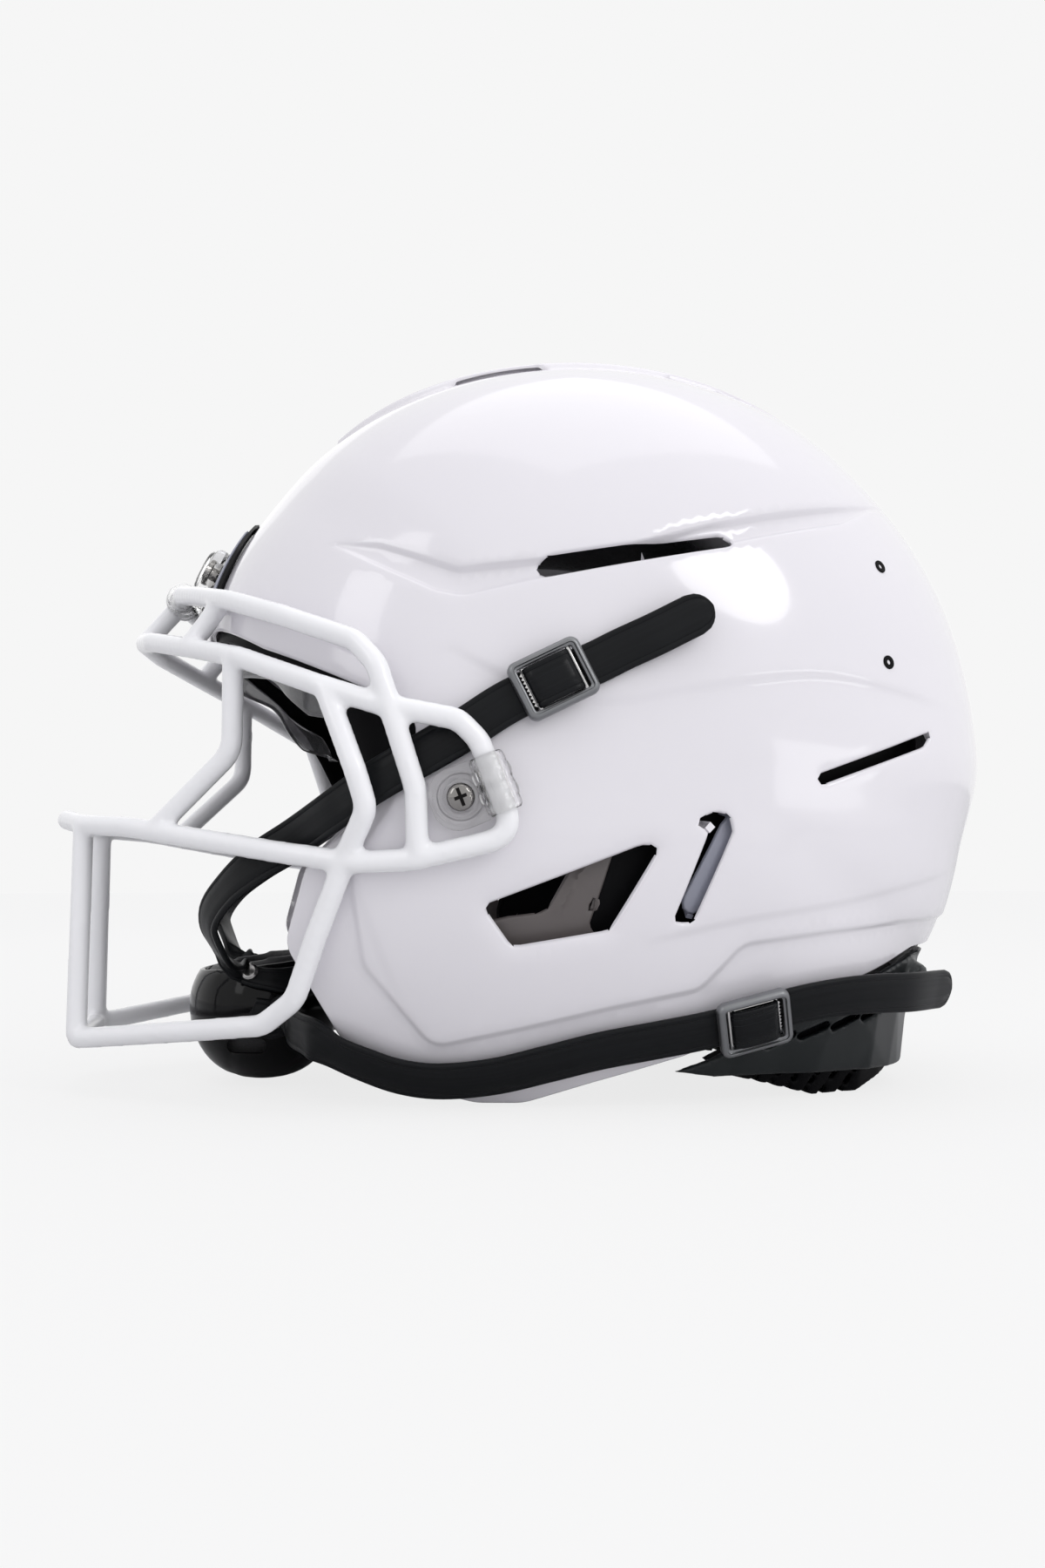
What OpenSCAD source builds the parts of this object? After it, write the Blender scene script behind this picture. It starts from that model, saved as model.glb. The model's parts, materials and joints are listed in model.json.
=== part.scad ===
// Football helmet with a coated wire face mask, soft liner and chin strap.
// The helmet stands on the floor at Z = 0 and faces -Y. X = 0 is its mirror plane
// and +X is the wearer's left. All sizes are in millimetres and angles in degrees.

/* [Shell outline] */
// Distance of the dome's centre behind the middle of the whole helmet
centre_y = 25.5; // [20:0.5:30]
// Height of the dome's centre above the floor
centre_z = 130; // [126:1:134]
// Half of the greatest width, over the ears
shell_half_w = 119; // [114:1:124]
// Radius of the side outline at the back
rear_r = 163.5; // [160:0.5:166]
// Radius of the side outline between the back and the crown
upper_rear_r = 164; // [161:1:167]
// Radius of the side outline at the crown
crown_r = 162; // [159:1:166]
// Radius of the side outline at the hairline
hairline_r = 165; // [162:1:168]
// Radius of the side outline at the forehead
forehead_r = 166.5; // [164:0.5:169]
// Radius of the side outline at the brow
brow_r = 157.5; // [155:0.5:160]
// Radius of the side outline at the nape
nape_r = 158; // [155:1:161]
// Thickness of the shell
wall = 3.6; // [3:0.2:4.4]
// How far the jaw flaps tuck in at the floor
jaw_tuck = 26; // [20:1:32]

/* [Shell relief] */
// Depth of the side channel and of the lower rim below the side panel
channel_depth = 1.2; // [0.6:0.2:2]
// Height of the upper dome over the side panel
ledge_h = 1.6; // [0.8:0.2:2.4]
// Height of the crown band over the side panel
band_h = 4.2; // [3:0.2:5]
// Half width of the crown band at its widest
band_half_w = 37; // [32:1:40]
// Height of a crown vent
crown_vent_h = 6; // [3:0.5:7]
// Height of the long side vent
side_vent_h = 8; // [5:0.5:10]

/* [Face mask] */
// Diameter of the coated mask wire
wire_d = 7.8; // [7:0.2:8.4]
// Clear space from the shell's widest place to the axis of the mask's side loops
loop_gap = 6.5; // [6:0.5:9]
// Radius of the mask's tight bends
bend_r = 12; // [9:1:14]

/* [Clips and screws] */
// Width of a mask clip
clip_w = 20; // [18:1:22]
// Thickness of a clip's plate
clip_plate_t = 4; // [3:0.5:5]
// Wall of a clip where it wraps the wire
clip_wrap_t = 2.6; // [2:0.2:3.2]
// Thickness of the front clip's block
front_clip_t = 9; // [8:0.5:10]
// Diameter of a clip screw's head
screw_head_d = 9.6; // [9:0.2:11]
// Height of a clip screw's head
screw_head_h = 2.8; // [2.2:0.2:3.2]
// Diameter of a clip screw's thread
screw_d = 4.8; // [4:0.2:5.4]
// Diameter of the nut's flange inside the shell
nut_flange_d = 15; // [13:1:17]

/* [Chin strap] */
// Width of the strap
strap_w = 15; // [13:0.5:17]
// Thickness of the strap
strap_t = 2.4; // [2:0.2:3]
// Gap under a strap where it lies along the shell
strap_lift = 1.6; // [1.2:0.2:2.4]
// Height of the strap's underside over the shell at a snap
snap_lift = 5.2; // [4.8:0.2:6.4]
// Length of a strap's end past its snap
tip_len = 13; // [11:0.5:16]
// Height of the boss under the lower snap
boss_h = 4.4; // [3:0.2:5]
// Diameter of a snap stud's button
stud_d = 5.4; // [4.8:0.2:6]
// Outer diameter of a snap socket
socket_d = 12.6; // [11.8:0.2:13.8]
// Length of a buckle along the strap
buckle_len = 27; // [25:0.5:29]
// Width of the rim of a buckle
buckle_rim = 2.8; // [2.4:0.2:3.2]
// Thickness of a buckle
buckle_t = 4.2; // [3.6:0.2:4.8]
// Diameter of the wire of a buckle's bail
bail_d = 1.8; // [1.4:0.2:2]

/* [Chin cup] */
// Half width of the chin cup
cup_half_w = 36; // [33:1:40]
// Half length of the chin cup from front to back
cup_half_l = 30; // [27:1:33]
// Height of the cup's rim over its bottom
cup_h = 47; // [43:1:51]
// Wall of the cup
cup_wall = 2.4; // [2:0.2:3]
// Clear height of the cup over the floor
cup_floor_gap = 1.2; // [0.6:0.2:3]

/* [Liner] */
// Thickness of the crown pad
crown_pad_t = 24; // [18:1:28]
// Thickness of the side and back pads
side_pad_t = 20; // [15:1:24]
// Thickness of the brow pad
brow_pad_t = 17; // [13:1:20]
// Thickness of the jaw pads
jaw_pad_t = 22; // [16:1:26]
// Gap between a pad and the shell
pad_gap = 1.4; // [1:0.1:1.5]

/* [Hidden] */
$fn = 32;

// Fit between pieces that touch
fit = 0.3;
// Exponent of the shell's section across the helmet
section_power = 2.2;
// Fullness of the side above and below the ears
upper_fullness = 2.6;
lower_fullness = 3.4;
// Height where the jaw flaps start to tuck in
tuck_z = 100;
// Extra length of every cutter past what it cuts
over = 200;

// Radii of the side outline, each with its direction from the dome's centre.
// 0 points to the back and 90 to the crown.
outline = [[0, rear_r], [35, upper_rear_r], [90, crown_r], [130, hairline_r], [155, forehead_r],
    [180, brow_r], [225, 196], [270, 260], [300, 215], [328, nape_r + 3], [345, nape_r],
    [360, rear_r]];

function ease(t) = 0.5 - 0.5 * cos(180 * min(1, max(0, t)));
function mix(a, b, t) = a + (b - a) * t;
function unit(v) = v / norm(v);
function turn(a) = (a % 360 + 360) % 360;
function mirrored(p) = [-p[0], p[1], p[2]];

// Radius of the side outline in one direction
function outline_r(a, i = 0) =
    turn(a) <= outline[i + 1][0]
        ? mix(outline[i][1], outline[i + 1][1],
            ease((turn(a) - outline[i][0]) / (outline[i + 1][0] - outline[i][0])))
        : outline_r(a, i + 1);

// Share of the way from the centre to the outline
function share(y, z) = norm([y - centre_y, z - centre_z]) / outline_r(atan2(z - centre_z, y - centre_y));
function fullness(z) = mix(lower_fullness, upper_fullness, ease((z - centre_z + 60) / 100));
function half_width(z) = shell_half_w - jaw_tuck * pow(min(1, max(0, 1 - z / tuck_z)), 2);
function side_x(y, z) =
    half_width(z) * pow(max(0, 1 - pow(share(y, z), fullness(z))), 1 / section_power);

// The shell's surface is the zero of this value, so its slope gives the normal
function level(p) =
    pow(share(p[1], p[2]), fullness(p[2])) + pow(abs(p[0]) / half_width(p[2]), section_power);
function slope(p, d, h = 0.25) = (level(p + h * d) - level(p - h * d)) / (2 * h);
function normal(p) = unit([slope(p, [1, 0, 0]), slope(p, [0, 1, 0]), slope(p, [0, 0, 1])]);

// Place on the left side of the shell, seen from the side, lifted off it
function side_normal(y, z) = normal([side_x(y, z), y, z]);
function on_side(y, z, lift = 0) = [side_x(y, z), y, z] + lift * side_normal(y, z);

// Place on the shell by direction from the centre and turn out of the mirror plane
function skin_base(a, b) =
    let (s = pow(cos(b), 0.7), r = outline_r(a) * s,
        y = centre_y + r * cos(a), z = centre_z + r * sin(a))
    [b == 0 ? 0 : sign(b) * side_x(y, z), y, z];
function skin(a, b, lift) = let (p = skin_base(a, b)) p + lift * normal(p);

// Frame on a surface: the way along, the way across and the normal
function frame(along, out) =
    let (n = unit(out), t = unit(along - (along * n) * n)) [t, cross(n, t), n];
module place(p, f) {
    multmatrix([
        [f[0][0], f[1][0], f[2][0], p[0]],
        [f[0][1], f[1][1], f[2][1], p[1]],
        [f[0][2], f[1][2], f[2][2], p[2]],
        [0, 0, 0, 1]]) children();
}
module both_sides() {
    children();
    mirror([1, 0, 0]) children();
}

// Corner of a route replaced by a short curve that starts within reach of it
function corner(a, b, c, reach, steps) =
    let (ra = min(reach, norm(a - b) * 0.48), rc = min(reach, norm(c - b) * 0.48),
        p = b + unit(a - b) * ra, q = b + unit(c - b) * rc)
    [for (i = [0 : steps]) let (t = i / steps) p * (1 - t) * (1 - t) + b * 2 * t * (1 - t) + q * t * t];
function round_open(pts, reach, steps = 4) =
    let (n = len(pts))
    [pts[0], for (i = [1 : n - 2]) each corner(pts[i - 1], pts[i], pts[i + 1], reach, steps), pts[n - 1]];
function round_closed(pts, reach, steps = 4) =
    let (n = len(pts))
    [for (i = [0 : n - 1]) each corner(pts[(i + n - 1) % n], pts[i], pts[(i + 1) % n], reach, steps)];

// Faces between rings of points, each ring with the same number of them
function ring_faces(rings, sides, closed = false) = [
    for (i = [0 : rings - (closed ? 1 : 2)], j = [0 : sides - 1])
        let (a = i * sides, b = ((i + 1) % rings) * sides, k = (j + 1) % sides)
        each [[a + j, b + j, a + k], [a + k, b + j, b + k]]];
function cap_faces(rings, sides) = [
    for (j = [1 : sides - 2]) [0, j, j + 1],
    for (j = [1 : sides - 2]) let (a = (rings - 1) * sides) [a, a + j + 1, a + j]];

// Round wire along a route. Its rings are turned by the direction from a far centre.
tube_eye = [0, 20, 110];
function way(pts, i, closed) =
    let (n = len(pts))
    closed ? unit(pts[(i + 1) % n] - pts[(i + n - 1) % n])
        : unit(pts[min(i + 1, n - 1)] - pts[max(i - 1, 0)]);
function wire_ring(p, along, r, sides) =
    let (b = unit(cross(along, p - tube_eye)), n = cross(b, along))
    [for (j = [0 : sides - 1]) p + r * (cos(360 * j / sides) * n + sin(360 * j / sides) * b)];
module wire(pts, closed = false, r = wire_d / 2, sides = 8) {
    n = len(pts);
    polyhedron(
        [for (i = [0 : n - 1]) each wire_ring(pts[i], way(pts, i, closed), r, sides)],
        concat(ring_faces(n, sides, closed), closed ? [] : cap_faces(n, sides)), convexity = 6);
}

// Flat strap along a route of [place, normal, width]
module ribbon(route, t = strap_t) {
    n = len(route);
    pts = [for (r = route) r[0]];
    polyhedron(
        [for (i = [0 : n - 1])
            let (d = way(pts, i, false), side = unit(cross(route[i][1], d)), out = cross(d, side),
                w = route[i][2] / 2, p = pts[i])
            each [p - w * side, p + w * side, p + w * side + t * out, p - w * side + t * out]],
        concat(ring_faces(n, 4), cap_faces(n, 4)), convexity = 4);
}

// Closed solid of the shell's outer shape, lifted by a value that may fade by direction
dome_steps = 44;
dome_rows = 9;
function dome_row(i) = 90 - 90 * i / dome_rows;
module dome(lift, fade = [0, 360, 0, 360]) {
    rows = [for (i = [1 : 2 * dome_rows - 1]) dome_row(i)];
    n = dome_steps;
    m = len(rows);
    pts = concat(
        [for (b = rows, j = [0 : n - 1])
            let (a = 360 * j / n)
            skin(a, b, lift < 0 ? lift : lift * faded(a, fade))],
        [[shell_half_w + lift, centre_y, centre_z], [-shell_half_w - lift, centre_y, centre_z]]);
    polyhedron(pts, concat(
        [for (f = ring_faces(m, n)) [f[0], f[2], f[1]]],
        [for (j = [0 : n - 1]) [n * m, (j + 1) % n, j]],
        [for (j = [0 : n - 1]) [n * m + 1, (m - 1) * n + j, (m - 1) * n + (j + 1) % n]]), convexity = 6);
}
function faded(a, f) = ease((a - f[0]) / max(1, f[1] - f[0])) * (1 - ease((a - f[2]) / max(1, f[3] - f[2])));

// Prism of a side-view outline of [y, z] points, between two distances from the mirror plane
module side_prism(pts, x0 = -over, x1 = over) {
    translate([x0, 0, 0]) rotate([90, 0, 90]) linear_extrude(x1 - x0) polygon(pts);
}

// Opening through the sides with round corners, each given as [y, z, radius]
module round_hole(corners, x0 = -over, x1 = over) {
    hull() for (c = corners) translate([x0, c[0], c[1]]) rotate([0, 90, 0])
        cylinder(r = c[2], h = x1 - x0, $fn = 12);
}

// Side-view outline of the shell: brow, face opening, jaw flap and lower edge
brow_z = 178;
shell_outline = round_closed([[-over, brow_z + 1], [-128, brow_z], [-109, 165], [-74, 148], [-55, 137],
    [-58, 121], [-94, 86], [-101, 58], [-80, 23], [-48, 4], [-32, 0], [-14, 0], [8, 7], [43, 17],
    [94, 40], [140, 54], [over + 60, 60], [over + 60, over * 2], [-over, over * 2]], 12, 3);

// Lines of the side's relief
upper_line = [[-over, 203], [-83, 202], [-68, 200], [-41, 189], [5, 194], [48, 207], [105, 221], [124, 226],
    [over, 246]];
lower_line = [[-over, 202], [-83, 201], [-66, 191], [-49, 182], [-40, 180], [-15, 186], [57, 202],
    [106, 215], [124, 225], [over, 245]];
rim_line = [[over, 68], [130, 65], [92, 62], [60, 58], [45, 42], [13, 36], [-17, 29], [-35, 25],
    [-48, 22], [-73, 51], [-79, 84], [-62, 112], [-80, 130], [-over, 130]];

// Side-view outlines of the openings in the shell
// Each is the hull of round corners given as [y, z, radius].
ear_hole = [[-30, 71, 2], [-21, 62, 4], [9, 66, 3], [25, 91, 2], [22, 91, 2]];
hook_stem = [[36, 68.5, 2.5], [39, 70, 2.5], [50, 100, 4]];
hook_arm = [[50, 100, 4], [45, 101, 1.8]];
rear_vent = [[89, 117, 2], [134, 132, 1.8], [137, 134.5, 1.2]];
side_vent = [[-12, 186 + side_vent_h / 2, 2], [-9, 188 + side_vent_h / 2, 2], [-11, 189, 2],
    [53, 203, 2], [56, 202, 1.5]];
front_crown_vent = [[-36, 281, 1.5], [-31, 279 + crown_vent_h, 1.5], [1, 284 + crown_vent_h, 1.5], [3, 287, 1.5]];
rear_crown_vent = [[52, 285.5, 1.2], [92, 272.5, 1.2], [54, 283 + crown_vent_h * 0.6, 1.2]];

// Plan of the crown band, half of it: [y, half width]
band_plan = [[-78, 11], [-66, band_half_w - 15], [-42, band_half_w - 4], [10, band_half_w],
    [70, band_half_w - 1], [115, band_half_w - 8], [170, 18]];

// Places on the side of the shell, as [y, z] seen from the side
clip_seat = [-41, 109];
upper_snap = [34, 169.5];
lower_snap = [138, 41];
port_seats = [[121, 199], [119, 161]];
// Direction of the front clip's seat from the dome's centre
front_seat_a = 154;

module shell() {
    color("#ece9ec") difference() {
        union() {
            dome(-channel_depth);
            intersection() {
                dome(0);
                side_prism(concat(lower_line, rim_line));
            }
            intersection() {
                dome(ledge_h, [42, 62, 132, 145]);
                side_prism(concat(upper_line, [[over, over * 2], [-over, over * 2]]));
            }
            intersection() {
                dome(band_h, [22, 44, 300, 320]);
                linear_extrude(over * 2) polygon(concat(
                    [for (p = band_plan) [p[1], p[0]]],
                    [for (i = [len(band_plan) - 1 : -1 : 0]) [-band_plan[i][1], band_plan[i][0]]]));
                translate([-over, -over, centre_z + 40]) cube([2 * over, 2 * over, over]);
            }
        }
        dome(-wall);
        difference() {
            translate([-over, -over * 1.5, -over]) cube([2 * over, over * 3, over * 3]);
            side_prism(shell_outline, -over * 1.1, over * 1.1);
        }
        for (hole = [ear_hole, hook_stem, hook_arm, rear_vent, side_vent]) round_hole(hole);
        both_sides() {
            round_hole(front_crown_vent, band_half_w - 9, band_half_w + 16);
            round_hole(rear_crown_vent, band_half_w - 9, band_half_w + 16);
            place(seat_place(clip_seat), seat_frame(clip_seat)) drill(screw_d / 2 + 2 * fit);
            place(snap_place(upper_tab_line), snap_frame(upper_tab_line)) drill(stud_shank_r + fit);
            for (s = port_seats) place(seat_place(s), seat_frame(s)) drill(port_r + fit);
        }
        place(front_seat, front_frame) drill(screw_d / 2 + 2 * fit);
    }
}

// Frame of a seat on the left side: along the shell toward the back, and its normal
function seat_place(s) = on_side(s[0], s[1]);
function seat_frame(s, along = [0, 1, 0]) = frame(along, side_normal(s[0], s[1]));
module drill(r) {
    translate([0, 0, -15]) cylinder(r = r, h = 30);
}
front_seat = skin(front_seat_a, 0, 0);
front_frame = frame([0, 0, 1], normal(front_seat));

// Front bumper, a plate on the forehead under the front clip. Its half width is given as a
// turn out of the mirror plane for each direction from the dome's centre.
bumper_h = 2.6;
bumper_edge = [[161.5, 15], [158, 14.5], [154, 12.5], [150, 9.5], [147, 6.5], [145, 3.5]];
module plate(edge, low, high, b_from = -1, b_to = 1, columns = 8) {
    rows = len(edge);
    sides = 2 * (columns + 1);
    polyhedron([for (e = edge) each concat(
            [for (j = [0 : columns]) skin(e[0], e[1] * mix(b_from, b_to, j / columns), low)],
            [for (j = [columns : -1 : 0]) skin(e[0], e[1] * mix(b_from, b_to, j / columns), high)])],
        concat([for (f = ring_faces(rows, sides)) [f[0], f[2], f[1]]], cap_strip(rows, columns)), convexity = 4);
}
// Ends of a plate, as a strip of triangles between its lower and upper edge
function cap_strip(rows, columns) =
    let (sides = 2 * (columns + 1), a = (rows - 1) * sides)
    [for (j = [0 : columns - 1]) let (p = j, q = sides - 1 - j)
        each [[p, q, p + 1], [p + 1, q, q - 1], [a + p, a + p + 1, a + q], [a + p + 1, a + q - 1, a + q]]];
module front_bumper() {
    color("#1b1c1f") difference() {
        plate(bumper_edge, fit, bumper_h);
        place(front_seat, front_frame) drill(screw_d / 2 + 2 * fit);
    }
}

// Bright strips along the two edges of the bumper
module bumper_inlay() {
    inlay_edge = [for (i = [1 : 4]) bumper_edge[i]];
    color("#8f93a8") both_sides() plate(inlay_edge, bumper_h + 0.1, bumper_h + 0.9, 0.72, 0.94, 2);
}

// Inflation ports: rubber grommets with a bore for a pump needle
port_r = 2.6;
port_bore_r = 0.9;
module air_ports() {
    color("#2a2a2c") both_sides() for (s = port_seats)
        place(on_side(s[0], s[1]), seat_frame(s)) translate([0, 0, -wall]) difference() {
            cylinder(r = port_r, h = wall + 0.4);
            translate([0, 0, -1]) cylinder(r = port_bore_r, h = wall + 3);
        }
}

// Rear guard: dark plastic under the shell's rear lower edge
guard_line = [[40, 12], [52, 16 + fit], [94, 38.5], [140, 52.5], [over, 57], [over, -2], [150, 8], [128, 9],
    [54, 10]];
guard_slots = [0 : 3];
boss_r = 8;
module rear_guard() {
    color("#1d2022") difference() {
        intersection() {
            difference() {
                dome(-channel_depth);
                dome(-channel_depth - 4);
            }
            side_prism(guard_line);
        }
        both_sides() {
            for (i = guard_slots)
                round_hole([[74 + i * 13, 21 + i * 3, 1.4], [84 + i * 13, 25 + i * 3, 1.4]], 20, over);
            place(snap_place(lower_tab_line), snap_frame(lower_tab_line)) drill(stud_shank_r + fit);
        }
    }
    color("#1d2022") both_sides() place(snap_place(lower_tab_line), snap_frame(lower_tab_line)) difference() {
        translate([0, 0, -channel_depth - 1.5]) cylinder(r1 = boss_r + 2, r2 = boss_r, h = boss_h + channel_depth + 1.5);
        drill(stud_shank_r + fit);
    }
}

// Ribbed rubber pad at the nape, which rests on the floor
module rear_pad() {
    rib_step = 9;
    rear_y = nape_r - 8;
    color("#202123") difference() {
        intersection() {
            difference() {
                dome(-channel_depth - 4 - fit);
                dome(-channel_depth - 4 - fit - 13);
            }
            side_prism([[54, 15], [60, 10], [98, 0], [118, 0], [rear_y - 16, 6], [rear_y, 22], [rear_y, 46],
                [rear_y - 30, 44], [92, 32]]);
        }
        both_sides() for (i = [0 : 5])
            round_hole([[63 + i * rib_step, -4, 1], [74 + i * rib_step, 9 + i, 1]], 62 - 4 * i, over);
    }
}

// Cushion against the shell between two directions and two turns out of the mirror plane.
// Its inner face is crowned and its sides draw in toward the shell.
function crown(u, v) = pow(max(0, 1 - pow(abs(2 * u - 1), 4)), 0.5) * pow(max(0, 1 - pow(abs(2 * v - 1), 4)), 0.5);
module cushion(a0, a1, b0, b1, t, edge_t = 5, nu = 12, nv = 8) {
    lift = -wall - pad_gap;
    n = (nu + 1) * (nv + 1);
    function at(i, j) = i * (nv + 1) + j;
    outer = [for (i = [0 : nu], j = [0 : nv]) skin(mix(a0, a1, i / nu), mix(b0, b1, j / nv), lift)];
    inner = [for (i = [0 : nu], j = [0 : nv])
        let (u = i / nu, v = j / nv, k = 0.07 * (1 - crown(u, v)),
            a = mix(a0, a1, mix(u, 0.5, k)), b = mix(b0, b1, mix(v, 0.5, k)))
        skin(a, b, lift - edge_t - (t - edge_t) * crown(u, v))];
    sheet = [for (i = [0 : nu - 1], j = [0 : nv - 1])
        each [[at(i, j), at(i, j + 1), at(i + 1, j)], [at(i, j + 1), at(i + 1, j + 1), at(i + 1, j)]]];
    edge = concat([for (i = [0 : nu - 1]) at(i, 0)], [for (j = [0 : nv - 1]) at(nu, j)],
        [for (i = [nu : -1 : 1]) at(i, nv)], [for (j = [nv : -1 : 1]) at(0, j)]);
    polyhedron(concat(outer, inner), concat(
        [for (f = sheet) f],
        [for (f = sheet) [f[0] + n, f[2] + n, f[1] + n]],
        [for (k = [0 : len(edge) - 1])
            let (p = edge[k], q = edge[(k + 1) % len(edge)])
            each [[p, q, p + n], [q, q + n, p + n]]]), convexity = 4);
}
module left_right(left) {
    if (left) children();
    else mirror([1, 0, 0]) children();
}
module brow_pad() {
    color("#17181a") difference() {
        cushion(152, 161.2, -58, 58, brow_pad_t, 6, 5, 16);
        place(front_seat, front_frame) translate([0, 0, -30]) cylinder(d = nut_flange_d + 2, h = 40);
    }
}
module crown_pad() { color("#1f2124") cushion(62, 122, -29, 29, crown_pad_t); }
module back_pad() { color("#1f2124") cushion(-16, 50, -27, 27, side_pad_t); }
module side_pad(left) { color("#26282b") left_right(left) cushion(32, 138, 35, 58, side_pad_t, 5, 14, 6); }
module jaw_pad(left) { color("#1a1b1d") left_right(left) cushion(206, 238, 55, 67, jaw_pad_t, 6, 8, 6); }

// Routes of the mask's wires. The first number of each point is a share of the mask's half
// width, the others are millimetres. Each list is the left half, from the mirror plane on.
mask_half_w = shell_half_w + loop_gap;
function masked(pts) = [for (p = pts) [p[0] * mask_half_w, p[1], p[2]]];
function whole(pts) = concat([for (i = [len(pts) - 1 : -1 : 1]) mirrored(pts[i])], pts);
side_bar_top = [0.985, -36, 128];
side_bar_bottom = [0.995, -23.5, 96];
brow_half = [[0, -157, 177], [0.16, -152, 174.5], [0.4, -135, 168], [0.62, -117, 161], [0.86, -89, 147.5],
    [0.94, -68, 140], [0.985, -43, 135]];
main_half = [[0, -185.1, 105], [0.07, -184.8, 104.5], [0.23, -176, 102], [0.4, -157, 100.5], [0.56, -135, 96.5],
    [0.77, -101, 90.5], [0.89, -77, 87], [0.945, -57, 88]];
top_half = [[0, -141.5, 194.5], [0.12, -141.5, 194.5], [0.27, -134, 190.8], [0.5, -121, 184.2], [0.72, -102, 174.4],
    [0.88, -77, 163], [0.935, -70, 154], [0.955, -64, 134], [0.96, -57, 112], [0.95, -56, 90]];
chin_half = [[0, -177, 21], [0.24, -177, 21], [0.54, -132, 27], [0.7, -107, 30.5], [0.77, -96, 40],
    [0.82, -89, 62], [0.875, -80, 87]];
loop_bend = 8;

function loop_half() = concat(brow_half, [side_bar_top, side_bar_bottom], [for (i = [len(main_half) - 1 : -1 : 0]) main_half[i]]);
mask_loop_route = round_closed(concat(masked(loop_half()),
    [for (i = [len(loop_half()) - 2 : -1 : 1]) mirrored(masked(loop_half())[i])]), loop_bend, 2);
module mask_loop() { color("#f2f1f4") wire(mask_loop_route, true); }
module mask_top_bar() { color("#f2f1f4") wire(round_open(whole(masked(top_half)), bend_r, 2)); }
module mask_chin_bar() { color("#f2f1f4") wire(round_open(whole(masked(chin_half)), bend_r, 2)); }
module mask_centre_post() { color("#f2f1f4") wire([[0, -156, 177.5], [0, -149, 186], [0, -142, 194]]); }
module mask_brace(left) {
    color("#f2f1f4") left_right(left) wire(masked([[0.38, -136.5, 168.5], [0.4, -130, 177], [0.42, -123.5, 186.5]]));
}
module mask_eye_post(left) {
    color("#f2f1f4") left_right(left)
        wire(round_open(masked([[0.6, -119, 162], [0.59, -119, 127], [0.47, -147, 99]]), bend_r, 3));
}
module mask_side_post(left) {
    color("#f2f1f4") left_right(left)
        wire(round_open(masked([[0.87, -87, 146.5], [0.94, -77, 118], [0.94, -73, 105], [0.87, -80, 88]]), 9, 3));
}
module mask_front_post(left) {
    color("#f2f1f4") left_right(left) wire(masked([[0.23, -176, 102.5], [0.235, -176.5, 62], [0.24, -177, 21.5]]));
}

// Clear room of a clip's wrap round the wire
wrap_fit = 0.5;

// Clear clip: a plate under a screw and a wrap round the wire. In its own frame the screw
// runs along Z, the wrap's axis along X, and the shell's seat is at Z = 0.
// reach and rise place the wrap's axis from the screw.
module clip_body(reach, rise, base, t, sink = 0) {
    wrap_r = wire_d / 2 + wrap_fit + clip_wrap_t;
    wrap_w = clip_w - 1.6;
    $fn = 48;
    difference() {
        union() {
            translate([0, 0, base]) {
                cylinder(d = clip_w, h = t);
                translate([-clip_w / 2, -reach, 0]) cube([clip_w, reach, t]);
            }
            translate([-wrap_w / 2, -reach, rise]) rotate([0, 90, 0]) cylinder(r = wrap_r, h = wrap_w);
        }
        translate([-clip_w, -reach, rise]) rotate([0, 90, 0])
            cylinder(r = wire_d / 2 + wrap_fit, h = clip_w * 2);
        translate([0, 0, base - 1]) cylinder(r = screw_d / 2 + fit, h = t + 2);
        translate([0, 0, base + t - sink - 0.2]) cylinder(r = screw_head_d / 2 + fit, h = sink + 6);
        translate([-clip_w, -reach - wrap_r - 1, base - 20]) cube([clip_w * 2, reach * 2 + wrap_r * 2, 20]);
    }
}

// The side bar's axis through the side clip
side_bar_a = masked([side_bar_top])[0];
side_bar_b = masked([side_bar_bottom])[0];
side_bar_dir = unit(side_bar_b - side_bar_a);
side_seat = seat_place(clip_seat);
side_out = unit(cross(side_bar_dir, cross(side_normal(clip_seat[0], clip_seat[1]), side_bar_dir)));
side_clip_frame = [-side_bar_dir, cross(side_bar_dir, side_out), side_out];
side_to_bar = (side_bar_a + side_bar_b) / 2 - side_seat;
side_reach = -(side_to_bar * side_clip_frame[1]);
side_rise = side_to_bar * side_clip_frame[2];
side_base = 1.6;
module side_clip(left) {
    color("#dfe3e8", 0.5) left_right(left) place(side_seat, side_clip_frame)
        clip_body(side_reach, side_rise, side_base, clip_plate_t);
}

front_bar = masked([top_half[0]])[0];
front_clip_frame = [[1, 0, 0], cross(normal(front_seat), [1, 0, 0]), normal(front_seat)];
front_to_bar = front_bar - front_seat;
front_reach = -(front_to_bar * front_clip_frame[1]);
front_rise = front_to_bar * front_clip_frame[2];
front_base = bumper_h + fit;
module front_clip() {
    color("#dfe3e8", 0.5) difference() {
        place(front_seat, front_clip_frame)
            clip_body(front_reach, front_rise, front_base, front_clip_t, front_clip_t - clip_plate_t);
        place(front_bar, frame([1, 0, 0], masked([brow_half[0]])[0] - front_bar))
            cylinder(r = wire_d / 2 + wrap_fit, h = 40, $fn = 72);
    }
}

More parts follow.
